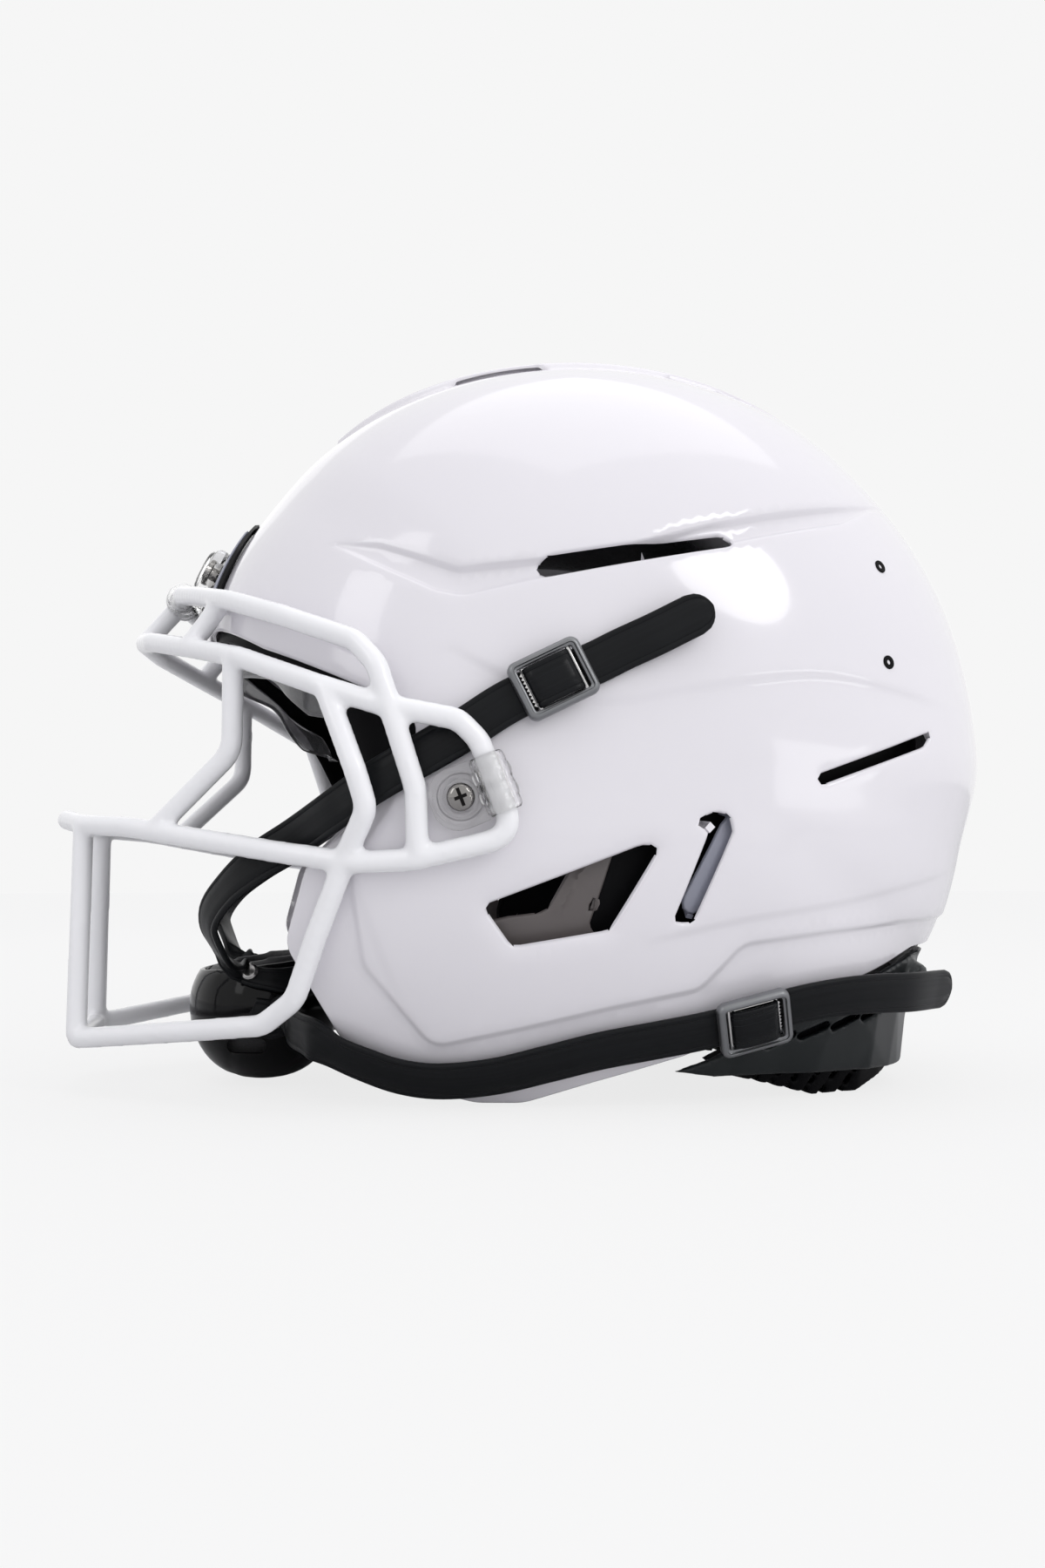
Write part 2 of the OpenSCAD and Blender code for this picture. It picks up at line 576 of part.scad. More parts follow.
// Screw with a domed head and a cross slot, seated on a clip's plate
module clip_screw(base) {
    head_r = screw_head_d / 2;
    thread_l = 17;
    difference() {
        translate([0, 0, base + clip_plate_t]) rotate_extrude($fn = 48) polygon(concat(
            [[0, -thread_l], [screw_d / 2 - 0.5, -thread_l], [screw_d / 2, -thread_l + 1], [screw_d / 2, fit * 0.5],
                [head_r, fit * 0.5]],
            [for (i = [0 : 4]) [head_r * cos(i * 22.5), 0.9 + (screw_head_h - 0.9) * sin(i * 22.5)]],
            [[0, screw_head_h]]));
        for (a = [0, 90]) rotate([0, 0, a]) translate([-2.9, -0.55, base + clip_plate_t + screw_head_h - 1.4])
            cube([5.8, 1.1, 3]);
    }
}
module side_screw(left) {
    color("#c9cacd") left_right(left) place(side_seat, side_clip_frame) clip_screw(side_base);
}
module front_screw() {
    color("#c9cacd") place(front_seat, front_clip_frame) clip_screw(front_base);
}

// Flanged nuts inside the shell, one behind each clip screw
nut_gap = 1.1;
module flange_nut() {
    difference() {
        union() {
            translate([0, 0, -wall - nut_gap - 1.6]) cylinder(d = nut_flange_d, h = 1.6);
            translate([0, 0, -wall - nut_gap - 6]) cylinder(d = nut_flange_d * 0.55, h = 5);
        }
        translate([0, 0, -wall - 20]) cylinder(r = screw_d / 2 + fit, h = 30);
    }
}
module clip_nuts() {
    color("#9a9b9e") {
        both_sides() place(side_seat, side_clip_frame) flange_nut();
        place(front_seat, front_clip_frame) flange_nut();
    }
}

// Snap studs: a shank in the shell, a flange on it and a button
stud_shank_r = 2;
stud_flange_r = 4.4;
stud_base = 0.5;
stud_h = 3.6;
module snap_stud() {
    rotate_extrude($fn = 40) polygon([[0, -wall + 0.6], [stud_shank_r, -wall + 0.6], [stud_shank_r, stud_base],
        [stud_flange_r, stud_base], [stud_flange_r, 1.0], [stud_d / 2 - 0.7, 1.2], [stud_d / 2 - 0.7, 2.2],
        [stud_d / 2, 2.7], [stud_d / 2 - 0.3, 3.3], [stud_d / 2 - 1.2, stud_h], [0, stud_h]]);
}
module snap_studs() {
    color("#b9babd") both_sides() {
        place(snap_place(upper_tab_line), snap_frame(upper_tab_line)) snap_stud();
        place(snap_place(lower_tab_line), snap_frame(lower_tab_line)) translate([0, 0, boss_h]) snap_stud();
    }
}

// Lines of the tabs along the shell as [y, z, lift], from the snap to the hinge line
upper_tab_line = [[upper_snap[0], upper_snap[1], snap_lift], [25, 165, snap_lift - 1], [14, 160, strap_lift + 0.8],
    [4, 155, strap_lift], [-10, 149, strap_lift], [-25.6, 141.2, strap_lift]];
upper_buckle_seat = [-10, 149];
upper_hinge_seat = [-26, 141];
lower_tab_line = [[lower_snap[0], lower_snap[1], snap_lift + boss_h], [125, 41, snap_lift + boss_h - 2.4],
    [110, 41, strap_lift + 2], [96, 40, strap_lift + 0.4], [80, 37.5, strap_lift], [64, 33, strap_lift],
    [47.4, 29.1, strap_lift]];
lower_buckle_seat = [64, 33];
lower_hinge_seat = [47, 29];

// Lines of the long straps, first along the shell and then free to the chin cup.
// A free point has its place, with the first number a share of the mask's half width, and the
// way its outer face looks.
upper_strap_line = [[-26.6, 140.7], [-38, 133], [-50, 125.5], [-61, 119], [-72, 112], [-83, 104]];
upper_strap_free = [[[0.7, -96, 95.5], [0.86, -0.5, 0.05]], [[0.64, -109, 87], [0.65, -0.76, 0]],
    [[0.565, -119.5, 77.5], [0.5, -0.86, 0.1]], [[0.485, -126, 67], [0.4, -0.9, -0.1]],
    [[0.415, -126, 57], [0.42, -0.8, -0.35]]];
lower_strap_line = [[46.4, 28.9], [30, 26], [10, 22.5], [-8, 18], [-26, 13.5], [-44, 11.5], [-58, 13], [-71, 17.5],
    [-81, 22]];
lower_strap_free = [[[0.635, -88, 24.5], [0.8, -0.6, -0.1]], [[0.565, -92, 26], [0.6, -0.78, -0.15]],
    [[0.462, -96, 27.5], [0.65, -0.72, -0.15]]];
// Places on the cup's side where the straps end, as [y, z]
upper_strap_end = [-112, 44.5];
lower_strap_end = [-103, 28];
// Straight length of a strap before and past its rivet, and its gap to the cup
end_lead = 7;
end_len = 5;
end_gap = 0.5;
// Rise of a strap off the cup where it starts to lie on it
end_rise = 1.5;

function laid(p, lift = strap_lift) =
    [on_side(p[0], p[1], len(p) > 2 ? p[2] : lift), side_normal(p[0], p[1]), strap_w];

// Frame at a tab's snap: along the tab to its tip, and square to it away from the shell
function snap_frame(line) =
    let (t = unit(laid(line[0])[0] - laid(line[1])[0]), n = side_normal(line[0][0], line[0][1]),
        out = unit(n - (n * t) * t))
    [t, cross(out, t), out];

function snap_place(line) = laid(line[0])[0] - line[0][2] * snap_frame(line)[2];

// Smooth curve through the points of a route
function curve_at(a, b, c, d, t) = 0.5 * ((2 * b) + (c - a) * t + (2 * a - 5 * b + 4 * c - d) * t * t
    + (3 * b - a - 3 * c + d) * t * t * t);
function smooth_route(route, steps = 2) =
    let (n = len(route))
    [for (i = [0 : n - 2], k = [0 : steps - 1])
        let (a = route[max(0, i - 1)], b = route[i], c = route[i + 1], d = route[min(n - 1, i + 2)], t = k / steps)
        [curve_at(a[0], b[0], c[0], d[0], t), unit(curve_at(a[1], b[1], c[1], d[1], t)), mix(b[2], c[2], t)],
        route[n - 1]];
// Straight end of a tab past its snap, with a round tip
function round_tip(first, second) =
    let (d = unit(first[0] - second[0]), r = strap_w / 2, tip = first[0] + d * tip_len)
    [for (a = [14, 36, 60, 90]) [tip - d * r * (1 - cos(a)), first[1], 2 * r * sin(a)]];

module tab(line) {
    route = [for (p = line) laid(p)];
    color("#1c1e20") ribbon(concat(round_tip(route[0], route[1]), smooth_route(route)));
}
module upper_tab(left) { left_right(left) tab(upper_tab_line); }
module lower_tab(left) { left_right(left) tab(lower_tab_line); }

// Snap socket under a tab: a cup round the stud's button
socket_h = 2.4;
socket_floor = 0.6;
module snap_socket(line) {
    color("#b9babd") place(laid(line[0])[0] - snap_frame(line)[2] * 0.2, snap_frame(line))
        rotate_extrude($fn = 40) polygon([[0, 0], [socket_d / 2, 0], [socket_d / 2, -1], [socket_d / 2 - 1, -socket_h],
            [stud_d / 2 + 1.3, -socket_h], [stud_d / 2 + 1.3, -socket_floor], [0, -socket_floor]]);
}
module upper_socket(left) { left_right(left) snap_socket(upper_tab_line); }
module lower_socket(left) { left_right(left) snap_socket(lower_tab_line); }

// Buckle in its own frame: X along the strap to its tip, Y across and Z away from the shell
buckle_w = strap_w + 2 * buckle_rim + 1;
buckle_z = strap_lift + strap_t + 0.3;
window_len = buckle_len - 2 * buckle_rim;
window_w = buckle_w - 2 * buckle_rim;
pivot_x = window_len / 2 - 1.5;
teeth_x = window_len / 2 - 2.3;
bail_z = buckle_z + bail_d / 2 + 0.2;
module rounded(l, w, r) {
    square([l - 2 * r, w], center = true);
    square([l, w - 2 * r], center = true);
    for (x = [-1, 1], y = [-1, 1]) translate([x * (l / 2 - r), y * (w / 2 - r)]) circle(r = r);
}
module buckle(side) {
    color("#7d7f85") difference() {
        translate([0, 0, buckle_z]) linear_extrude(buckle_t) difference() {
            rounded(buckle_len, buckle_w, 3.2);
            rounded(window_len, window_w, 1.2);
        }
        translate([side * pivot_x, 0, bail_z]) rotate([90, 0, 0])
            cylinder(r = bail_d / 2 + 0.2, h = window_w + 3.2, center = true);
    }
}

// Wire bail in the buckle: a plain bar that turns in the rim and a toothed bar
module bail(side) {
    r = bail_d / 2;
    arm_y = window_w / 2 - r - 0.3;
    teeth = 9;
    pitch = (2 * arm_y - 1) / teeth;
    color("#c8c8cb") {
        translate([side * pivot_x, 0, bail_z]) rotate([90, 0, 0]) cylinder(r = r, h = window_w + 2.8, center = true);
        translate([-side * teeth_x, 0, bail_z]) rotate([90, 0, 0]) cylinder(r = r, h = 2 * arm_y + 2 * r, center = true);
        for (y = [-1, 1]) translate([-teeth_x, y * arm_y, bail_z]) rotate([0, 90, 0])
            translate([0, 0, side > 0 ? 0 : teeth_x - pivot_x]) cylinder(r = r * 0.96, h = pivot_x + teeth_x);
        translate([-side * teeth_x, -arm_y, bail_z - 0.45]) linear_extrude(0.9) polygon(concat([[0, 2 * arm_y], [0, 0]],
            [for (i = [0 : teeth - 1]) each [[-side * 0.9, 0.5 + i * pitch], [-side * 1.8, 0.5 + (i + 0.5) * pitch]]],
            [[-side * 0.9, 2 * arm_y - 0.5]]));
    }
}

// Loop of the strap over the bail
module strap_loop() {
    half = teeth_x - bail_d / 2 - 0.4;
    bottom = bail_z + bail_d / 2 + 0.15;
    color("#1c1e20") ribbon([for (i = [-4 : 4])
        [[half * i / 4, 0, bottom + 1.1 * (1 - pow(i / 4, 2))], [-0.02 * i, 0, 1], strap_w]]);
}

// Frame of a buckle and the hinge line of its tab
function buckle_frame(seat, hinge) = seat_frame(seat, seat_place(seat) - seat_place(hinge));
module at_buckle(left, seat, hinge) {
    left_right(left) place(seat_place(seat), buckle_frame(seat, hinge)) children();
}
module upper_buckle(left) { at_buckle(left, upper_buckle_seat, upper_hinge_seat) buckle(1); }
module lower_buckle(left) { at_buckle(left, lower_buckle_seat, lower_hinge_seat) buckle(-1); }
module upper_bail(left) { at_buckle(left, upper_buckle_seat, upper_hinge_seat) bail(1); }
module lower_bail(left) { at_buckle(left, lower_buckle_seat, lower_hinge_seat) bail(-1); }
module upper_loop(left) { at_buckle(left, upper_buckle_seat, upper_hinge_seat) strap_loop(); }
module lower_loop(left) { at_buckle(left, lower_buckle_seat, lower_hinge_seat) strap_loop(); }

// Chin cup: a bowl with a thick wall, open to the top
cup_y = -107;
cup_top_a = 34;
cup_c = cup_h / (1 + sin(cup_top_a));
cup_z = cup_floor_gap + cup_c;
cup_power = 0.8;
cup_sides = 24;
function bowl_point(a, b, c, t, s, tilt) =
    let (k = pow(max(0, cos(t)), cup_power), y = b * k * sin(s))
    [a * k * cos(s), cup_y + y, cup_z + c * sin(t) + max(0, t) / cup_top_a * tilt * y];
module bowl(a, b, c, t, top_a, rows = 6, tilt = 0.12) {
    outer = [for (i = [0 : rows]) mix(-86, top_a, i / rows)];
    rings = concat(
        [for (q = outer) [for (j = [0 : cup_sides - 1]) bowl_point(a, b, c, q, 360 * j / cup_sides, tilt)]],
        [for (i = [rows : -1 : 0]) [for (j = [0 : cup_sides - 1])
            bowl_point(a - t, b - t, c - t, outer[i], 360 * j / cup_sides, tilt)]]);
    polyhedron([for (r = rings) each r],
        [for (f = concat(ring_faces(len(rings), cup_sides), cap_faces(len(rings), cup_sides))) [f[0], f[1], f[2]]],
        convexity = 4);
}
function cup_side(p) =
    let (k = pow(max(0, 1 - pow(abs((p[1] - cup_z) / cup_c), 2)), cup_power / 2), s = (p[0] - cup_y) / (cup_half_l * k))
    [cup_half_w * k * sqrt(max(0, 1 - s * s)), p[0], p[1]];
function cup_out(p) =
    let (q = cup_side(p), d = 0.5,
        dy = cup_side([p[0] + d, p[1]])[0] - cup_side([p[0] - d, p[1]])[0],
        dz = cup_side([p[0], p[1] + d])[0] - cup_side([p[0], p[1] - d])[0])
    unit([2 * d, -dy, -dz]);
// Straight end of a strap on the cup, which comes from the last free point
function strap_end(end, from) =
    let (out = cup_out(end), seat = cup_side(end) + out * end_gap, v = seat - from, d = unit(v - (v * out) * out))
    [for (k = [-end_lead, 0, end_len]) [seat + d * k + (k < 0 ? end_rise : 0) * out, out, strap_w]];
module chin_cup() {
    color("#17181a") difference() {
        bowl(cup_half_w, cup_half_l, cup_c, cup_wall, cup_top_a);
        both_sides() side_prism(round_closed([[-121, 14], [-106, 14], [-106, 20], [-121, 20]], 3), 12, 60);
        both_sides() for (p = [upper_strap_end, lower_strap_end]) place(cup_side(p), frame([0, 1, 0], cup_out(p)))
            drill(rivet_shank_r + fit);
    }
}
cup_pad_gap = 0.6;
cup_pad_t = 5;
module chin_pad() {
    color("#26272a") bowl(cup_half_w - cup_wall - cup_pad_gap, cup_half_l - cup_wall - cup_pad_gap,
        cup_c - cup_wall - cup_pad_gap, cup_pad_t, cup_top_a + 14);
}

// Rivets that hold the straps' ends on the cup
rivet_shank_r = 1.5;
rivet_head_r = 3.4;
rivet_gap = 0.3;
module cup_rivets() {
    color("#8b8c90") both_sides() for (p = [upper_strap_end, lower_strap_end])
        place(cup_side(p), frame([0, 1, 0], cup_out(p)))
            translate([0, 0, end_gap + strap_t + rivet_gap]) rotate_extrude($fn = 32) polygon([[0, 0], [rivet_head_r, 0],
                [rivet_head_r, 0.5], [rivet_head_r * 0.7, 1.2], [0, 1.4]]);
}

module long_strap(line, free, end) {
    loose = masked([for (p = free) p[0]]);
    color("#1c1e20") ribbon(smooth_route(concat(
        [for (p = line) laid(p)],
        [for (i = [0 : len(free) - 1]) [loose[i], unit(free[i][1]), strap_w]],
        strap_end(end, loose[len(loose) - 1]))));
}
module upper_strap(left) { left_right(left) long_strap(upper_strap_line, upper_strap_free, upper_strap_end); }
module lower_strap(left) { left_right(left) long_strap(lower_strap_line, lower_strap_free, lower_strap_end); }

shell();
front_bumper();
bumper_inlay();
air_ports();
rear_guard();
rear_pad();
brow_pad();
crown_pad();
back_pad();
side_pad(true);  // side_pad_left
side_pad(false);  // side_pad_right
jaw_pad(true);  // jaw_pad_left
jaw_pad(false);  // jaw_pad_right
mask_loop();
mask_top_bar();
mask_chin_bar();
mask_centre_post();
mask_brace(true);  // mask_brace_left
mask_brace(false);  // mask_brace_right
mask_eye_post(true);  // mask_eye_post_left
mask_eye_post(false);  // mask_eye_post_right
mask_side_post(true);  // mask_side_post_left
mask_side_post(false);  // mask_side_post_right
mask_front_post(true);  // mask_front_post_left
mask_front_post(false);  // mask_front_post_right
front_clip();
side_clip(true);  // side_clip_left
side_clip(false);  // side_clip_right
front_screw();
side_screw(true);  // side_screw_left
side_screw(false);  // side_screw_right
clip_nuts();
snap_studs();
upper_tab(true);  // upper_tab_left
upper_tab(false);  // upper_tab_right
lower_tab(true);  // lower_tab_left
lower_tab(false);  // lower_tab_right
upper_buckle(true);  // upper_buckle_left
upper_buckle(false);  // upper_buckle_right
lower_buckle(true);  // lower_buckle_left
lower_buckle(false);  // lower_buckle_right
upper_bail(true);  // upper_bail_left
upper_bail(false);  // upper_bail_right
lower_bail(true);  // lower_bail_left
lower_bail(false);  // lower_bail_right
upper_socket(true);  // upper_socket_left
upper_socket(false);  // upper_socket_right
lower_socket(true);  // lower_socket_left
lower_socket(false);  // lower_socket_right
upper_loop(true);  // upper_loop_left
upper_loop(false);  // upper_loop_right
lower_loop(true);  // lower_loop_left
lower_loop(false);  // lower_loop_right
upper_strap(true);  // upper_strap_left
upper_strap(false);  // upper_strap_right
lower_strap(true);  // lower_strap_left
lower_strap(false);  // lower_strap_right
chin_cup();
chin_pad();
cup_rivets();
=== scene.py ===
# %% [markdown]
# A football helmet, finished for a photograph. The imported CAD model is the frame: it holds the
# sizes and the joints. Here each shape is made again with the curves, rounded edges and
# surfaces that the real one shows, and rides on the CAD body that it belongs to.

import json
import math

import bmesh
import bpy
import numpy as np
from mathutils import Matrix, Vector
from mathutils.geometry import delaunay_2d_cdt

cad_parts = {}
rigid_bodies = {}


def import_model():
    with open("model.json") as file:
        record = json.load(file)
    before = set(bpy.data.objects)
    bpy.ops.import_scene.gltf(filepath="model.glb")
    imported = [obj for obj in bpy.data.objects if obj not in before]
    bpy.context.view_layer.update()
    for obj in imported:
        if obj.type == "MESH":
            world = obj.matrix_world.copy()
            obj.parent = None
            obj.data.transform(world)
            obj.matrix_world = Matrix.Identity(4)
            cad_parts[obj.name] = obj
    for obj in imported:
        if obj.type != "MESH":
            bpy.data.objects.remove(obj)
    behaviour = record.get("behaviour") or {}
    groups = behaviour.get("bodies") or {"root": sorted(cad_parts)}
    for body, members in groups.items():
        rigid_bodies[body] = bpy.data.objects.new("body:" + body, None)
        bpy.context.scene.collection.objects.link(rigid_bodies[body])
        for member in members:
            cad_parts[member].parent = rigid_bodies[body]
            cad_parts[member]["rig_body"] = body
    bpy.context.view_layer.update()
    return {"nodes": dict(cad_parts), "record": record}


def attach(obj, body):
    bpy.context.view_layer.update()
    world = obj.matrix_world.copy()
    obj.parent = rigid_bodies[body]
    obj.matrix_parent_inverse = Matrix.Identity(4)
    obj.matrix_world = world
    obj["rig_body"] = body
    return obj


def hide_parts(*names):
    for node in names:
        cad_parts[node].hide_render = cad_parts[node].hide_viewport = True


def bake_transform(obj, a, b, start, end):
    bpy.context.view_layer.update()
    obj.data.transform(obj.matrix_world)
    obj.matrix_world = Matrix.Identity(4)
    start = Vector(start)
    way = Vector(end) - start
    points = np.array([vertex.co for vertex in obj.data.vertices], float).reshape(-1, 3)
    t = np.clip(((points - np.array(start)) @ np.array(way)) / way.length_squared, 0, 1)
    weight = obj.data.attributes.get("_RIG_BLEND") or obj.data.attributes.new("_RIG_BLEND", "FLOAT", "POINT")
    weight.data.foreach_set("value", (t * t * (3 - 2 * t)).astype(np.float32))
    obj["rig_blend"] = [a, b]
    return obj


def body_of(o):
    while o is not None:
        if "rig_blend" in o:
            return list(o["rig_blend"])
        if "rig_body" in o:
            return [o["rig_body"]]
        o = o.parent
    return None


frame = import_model()
scene = bpy.context.scene
MM = 0.001
print("CAD nodes:", len(frame["nodes"]))

# %% [markdown]
# The camera comes first, because everything is judged from where the photographer stood:
# beside the helmet, a little in front of its middle, with the lens 83 mm above the floor.
# The place was worked out from the photograph's perspective, so shapes can be laid over it.

# %% Camera at the photograph's angle
STAND = (0.6, -0.1005, 0.083)
YAW, PITCH = math.radians(9.46), math.radians(3.6)
camera_data = bpy.data.cameras.new("camera")
camera_data.lens = 33.0
camera_data.sensor_width = 36.0
camera_data.clip_start = 0.02
camera = bpy.data.objects.new("camera", camera_data)
scene.collection.objects.link(camera)
ahead = Vector((-math.cos(YAW) * math.cos(PITCH), math.sin(YAW) * math.cos(PITCH), math.sin(PITCH)))
right = Vector((math.sin(YAW), math.cos(YAW), 0.0))
up = right.cross(ahead)
camera.matrix_world = Matrix((
    (right.x, up.x, -ahead.x, STAND[0]),
    (right.y, up.y, -ahead.y, STAND[1]),
    (right.z, up.z, -ahead.z, STAND[2]),
    (0, 0, 0, 1)))
scene.camera = camera
scene.view_settings.view_transform = "Standard"
print("camera looks along", tuple(round(v, 3) for v in ahead))

# %% [markdown]
# A white helmet on white needs light that wraps round it, with a few bright panels for the
# gloss to mirror. The world gives the wrap. The camera, the clear plastic and the gloss see
# one even pale grey in its place, which keeps the background plain, and only the soft light
# on the helmet comes from its ramp.

# %% World
world = bpy.data.worlds.new("studio")
scene.world = world
world.use_nodes = True
wn, wl = world.node_tree.nodes, world.node_tree.links
wn.clear()
out = wn.new("ShaderNodeOutputWorld")
seen = wn.new("ShaderNodeBackground")
seen.inputs["Color"].default_value = (0.9216, 0.9216, 0.9216, 1)
soft = wn.new("ShaderNodeBackground")
soft.inputs["Strength"].default_value = 1.03
coords = wn.new("ShaderNodeTexCoord")
apart = wn.new("ShaderNodeSeparateXYZ")
ramp = wn.new("ShaderNodeValToRGB")
ramp.color_ramp.elements[0].position = 0.0
ramp.color_ramp.elements[0].color = (0.5, 0.5, 0.515, 1)
ramp.color_ramp.elements[1].position = 0.75
ramp.color_ramp.elements[1].color = (0.98, 0.98, 1.0, 1)
wl.new(coords.outputs["Generated"], apart.inputs[0])
wl.new(apart.outputs["Z"], ramp.inputs["Fac"])
wl.new(ramp.outputs["Color"], soft.inputs["Color"])
ray = wn.new("ShaderNodeLightPath")
pick = wn.new("ShaderNodeMixShader")
clear_ray = wn.new("ShaderNodeMath")
clear_ray.operation = "MAXIMUM"
flat_ray = wn.new("ShaderNodeMath")
flat_ray.operation = "MAXIMUM"
wl.new(ray.outputs["Is Camera Ray"], clear_ray.inputs[0])
wl.new(ray.outputs["Is Transmission Ray"], clear_ray.inputs[1])
wl.new(clear_ray.outputs[0], flat_ray.inputs[0])
wl.new(ray.outputs["Is Glossy Ray"], flat_ray.inputs[1])
wl.new(flat_ray.outputs[0], pick.inputs["Fac"])
wl.new(soft.outputs[0], pick.inputs[1])
wl.new(seen.outputs[0], pick.inputs[2])
wl.new(pick.outputs[0], out.inputs["Surface"])
print("world nodes:", len(wn))

# %% [markdown]
# Large lamps stand where the photographer's umbrella and strip lights were. Each is an area
# light, because only a lamp with a size leaves a soft shape in the gloss. They stay low in
# power, so that only the brightest glints burn out.

# %% Lamps
def lamp(name, place, target, size, power, shape="RECTANGLE"):
    """A soft box: place and target in metres, size as (width, height)."""
    data = bpy.data.lights.new(name, "AREA")
    data.shape = shape
    data.size = size[0]
    data.size_y = size[1]
    data.energy = power
    obj = bpy.data.objects.new(name, data)
    scene.collection.objects.link(obj)
    obj.location = place
    obj.rotation_euler = (Vector(target) - Vector(place)).to_track_quat("-Z", "Y").to_euler()
    return obj


middle = (0, 0.02, 0.14)
lamp("umbrella", (1.15, 0.75, 1.0), middle, (0.6, 0.6), 3.2, "ELLIPSE")
lamp("front_strip", (1.0, -1.35, 1.0), middle, (0.55, 0.9), 2.4).visible_diffuse = False
lamp("overhead", (-0.1, 0.15, 1.7), middle, (1.4, 1.4), 3.5)
lamp("far_side", (-1.4, -0.3, 0.8), middle, (0.8, 0.8), 0.5)
lamp("low_rear", (1.1, 1.0, 0.25), middle, (0.7, 0.2), 0.6)
lamp("side_fill", (1.7, 0.75, 0.4), middle, (1.4, 1.0), 3.2).visible_glossy = False
print("lamps:", len(bpy.data.lights))

# %% [markdown]
# The floor is one pale sheet, so that the helmet stands on something without a coloured
# reflection. Most of what the camera sees of it is an even glow, which keeps the background
# one tone, and the rest is paint that takes the helmet's shadow. It isn't part of the helmet.

# %% Floor
bm = bmesh.new()
bmesh.ops.create_grid(bm, x_segments=1, y_segments=1, size=6.0)
floor_mesh = bpy.data.meshes.new("floor")
bm.to_mesh(floor_mesh)
bm.free()
floor = bpy.data.objects.new("floor", floor_mesh)
scene.collection.objects.link(floor)
floor_paint = bpy.data.materials.new("pale_floor")
floor_paint.use_nodes = True
floor_bsdf = floor_paint.node_tree.nodes["Principled BSDF"]
floor_bsdf.inputs["Base Color"].default_value = (0.66, 0.66, 0.665, 1)
floor_bsdf.inputs["Roughness"].default_value = 0.75
floor_bsdf.inputs["Specular IOR Level"].default_value = 0.2
fn, fl = floor_paint.node_tree.nodes, floor_paint.node_tree.links
glow, eye = fn.new("ShaderNodeEmission"), fn.new("ShaderNodeLightPath")
part, over_floor = fn.new("ShaderNodeMath"), fn.new("ShaderNodeMixShader")
glow.inputs["Color"].default_value = (0.971, 0.971, 0.971, 1)
part.operation = "MULTIPLY"
part.inputs[1].default_value = 0.82
fl.new(eye.outputs["Is Camera Ray"], part.inputs[0])
fl.new(part.outputs[0], over_floor.inputs["Fac"])
fl.new(floor_bsdf.outputs[0], over_floor.inputs[1])
fl.new(glow.outputs[0], over_floor.inputs[2])
fl.new(over_floor.outputs[0], fn["Material Output"].inputs["Surface"])
floor_mesh.materials.append(floor_paint)

# %% [markdown]
# Moulded plastic is never one flat value. Its gloss changes slowly across a part, and close
# up it has a very fine grain. Both come from one node group that every plastic, rubber and
# metal here shares, each with its own scale and strength. The group reads object
# coordinates, so the pattern needs no unwrapping.

# %% Shared grain group
def grain_group():
    """Node group with a slow change of tone and gloss, and a fine height."""
    group = bpy.data.node_groups.new("moulded_grain", "ShaderNodeTree")
    for name, value in (("Patch Scale", 14.0), ("Grain Scale", 600.0), ("Roughness", 0.3),
                        ("Roughness Change", 0.05)):
        socket = group.interface.new_socket(name, in_out="INPUT", socket_type="NodeSocketFloat")
        socket.default_value = value
    for name in ("Tone", "Roughness", "Height"):
        group.interface.new_socket(name, in_out="OUTPUT", socket_type="NodeSocketFloat")
    n, l = group.nodes, group.links
    come, go = n.new("NodeGroupInput"), n.new("NodeGroupOutput")
    where = n.new("ShaderNodeTexCoord")
    patch, grain = n.new("ShaderNodeTexNoise"), n.new("ShaderNodeTexNoise")
    patch.inputs["Detail"].default_value = 3.0
    grain.inputs["Detail"].default_value = 2.0
    for tex, scale in ((patch, "Patch Scale"), (grain, "Grain Scale")):
        l.new(where.outputs["Object"], tex.inputs["Vector"])
        l.new(come.outputs[scale], tex.inputs["Scale"])
    centred = n.new("ShaderNodeMath")
    centred.operation = "SUBTRACT"
    centred.inputs[1].default_value = 0.5
    l.new(patch.outputs["Fac"], centred.inputs[0])
    rough = n.new("ShaderNodeMath")
    rough.operation = "MULTIPLY_ADD"
    l.new(centred.outputs[0], rough.inputs[0])
    l.new(come.outputs["Roughness Change"], rough.inputs[1])
    l.new(come.outputs["Roughness"], rough.inputs[2])
    l.new(patch.outputs["Fac"], go.inputs["Tone"])
    l.new(rough.outputs[0], go.inputs["Roughness"])
    l.new(grain.outputs["Fac"], go.inputs["Height"])
    return group


GRAIN = grain_group()
print("group outputs:", [s.name for s in GRAIN.interface.items_tree if s.in_out == "OUTPUT"])

# %% [markdown]
# Nearly every finish of the helmet is then one call of a function. It takes two close tones,
# so that no colour is dead flat, then the gloss and how coarse and deep the grain is. What
# only one finish needs, such as the clear coat on the shell, is set by the name of its socket.

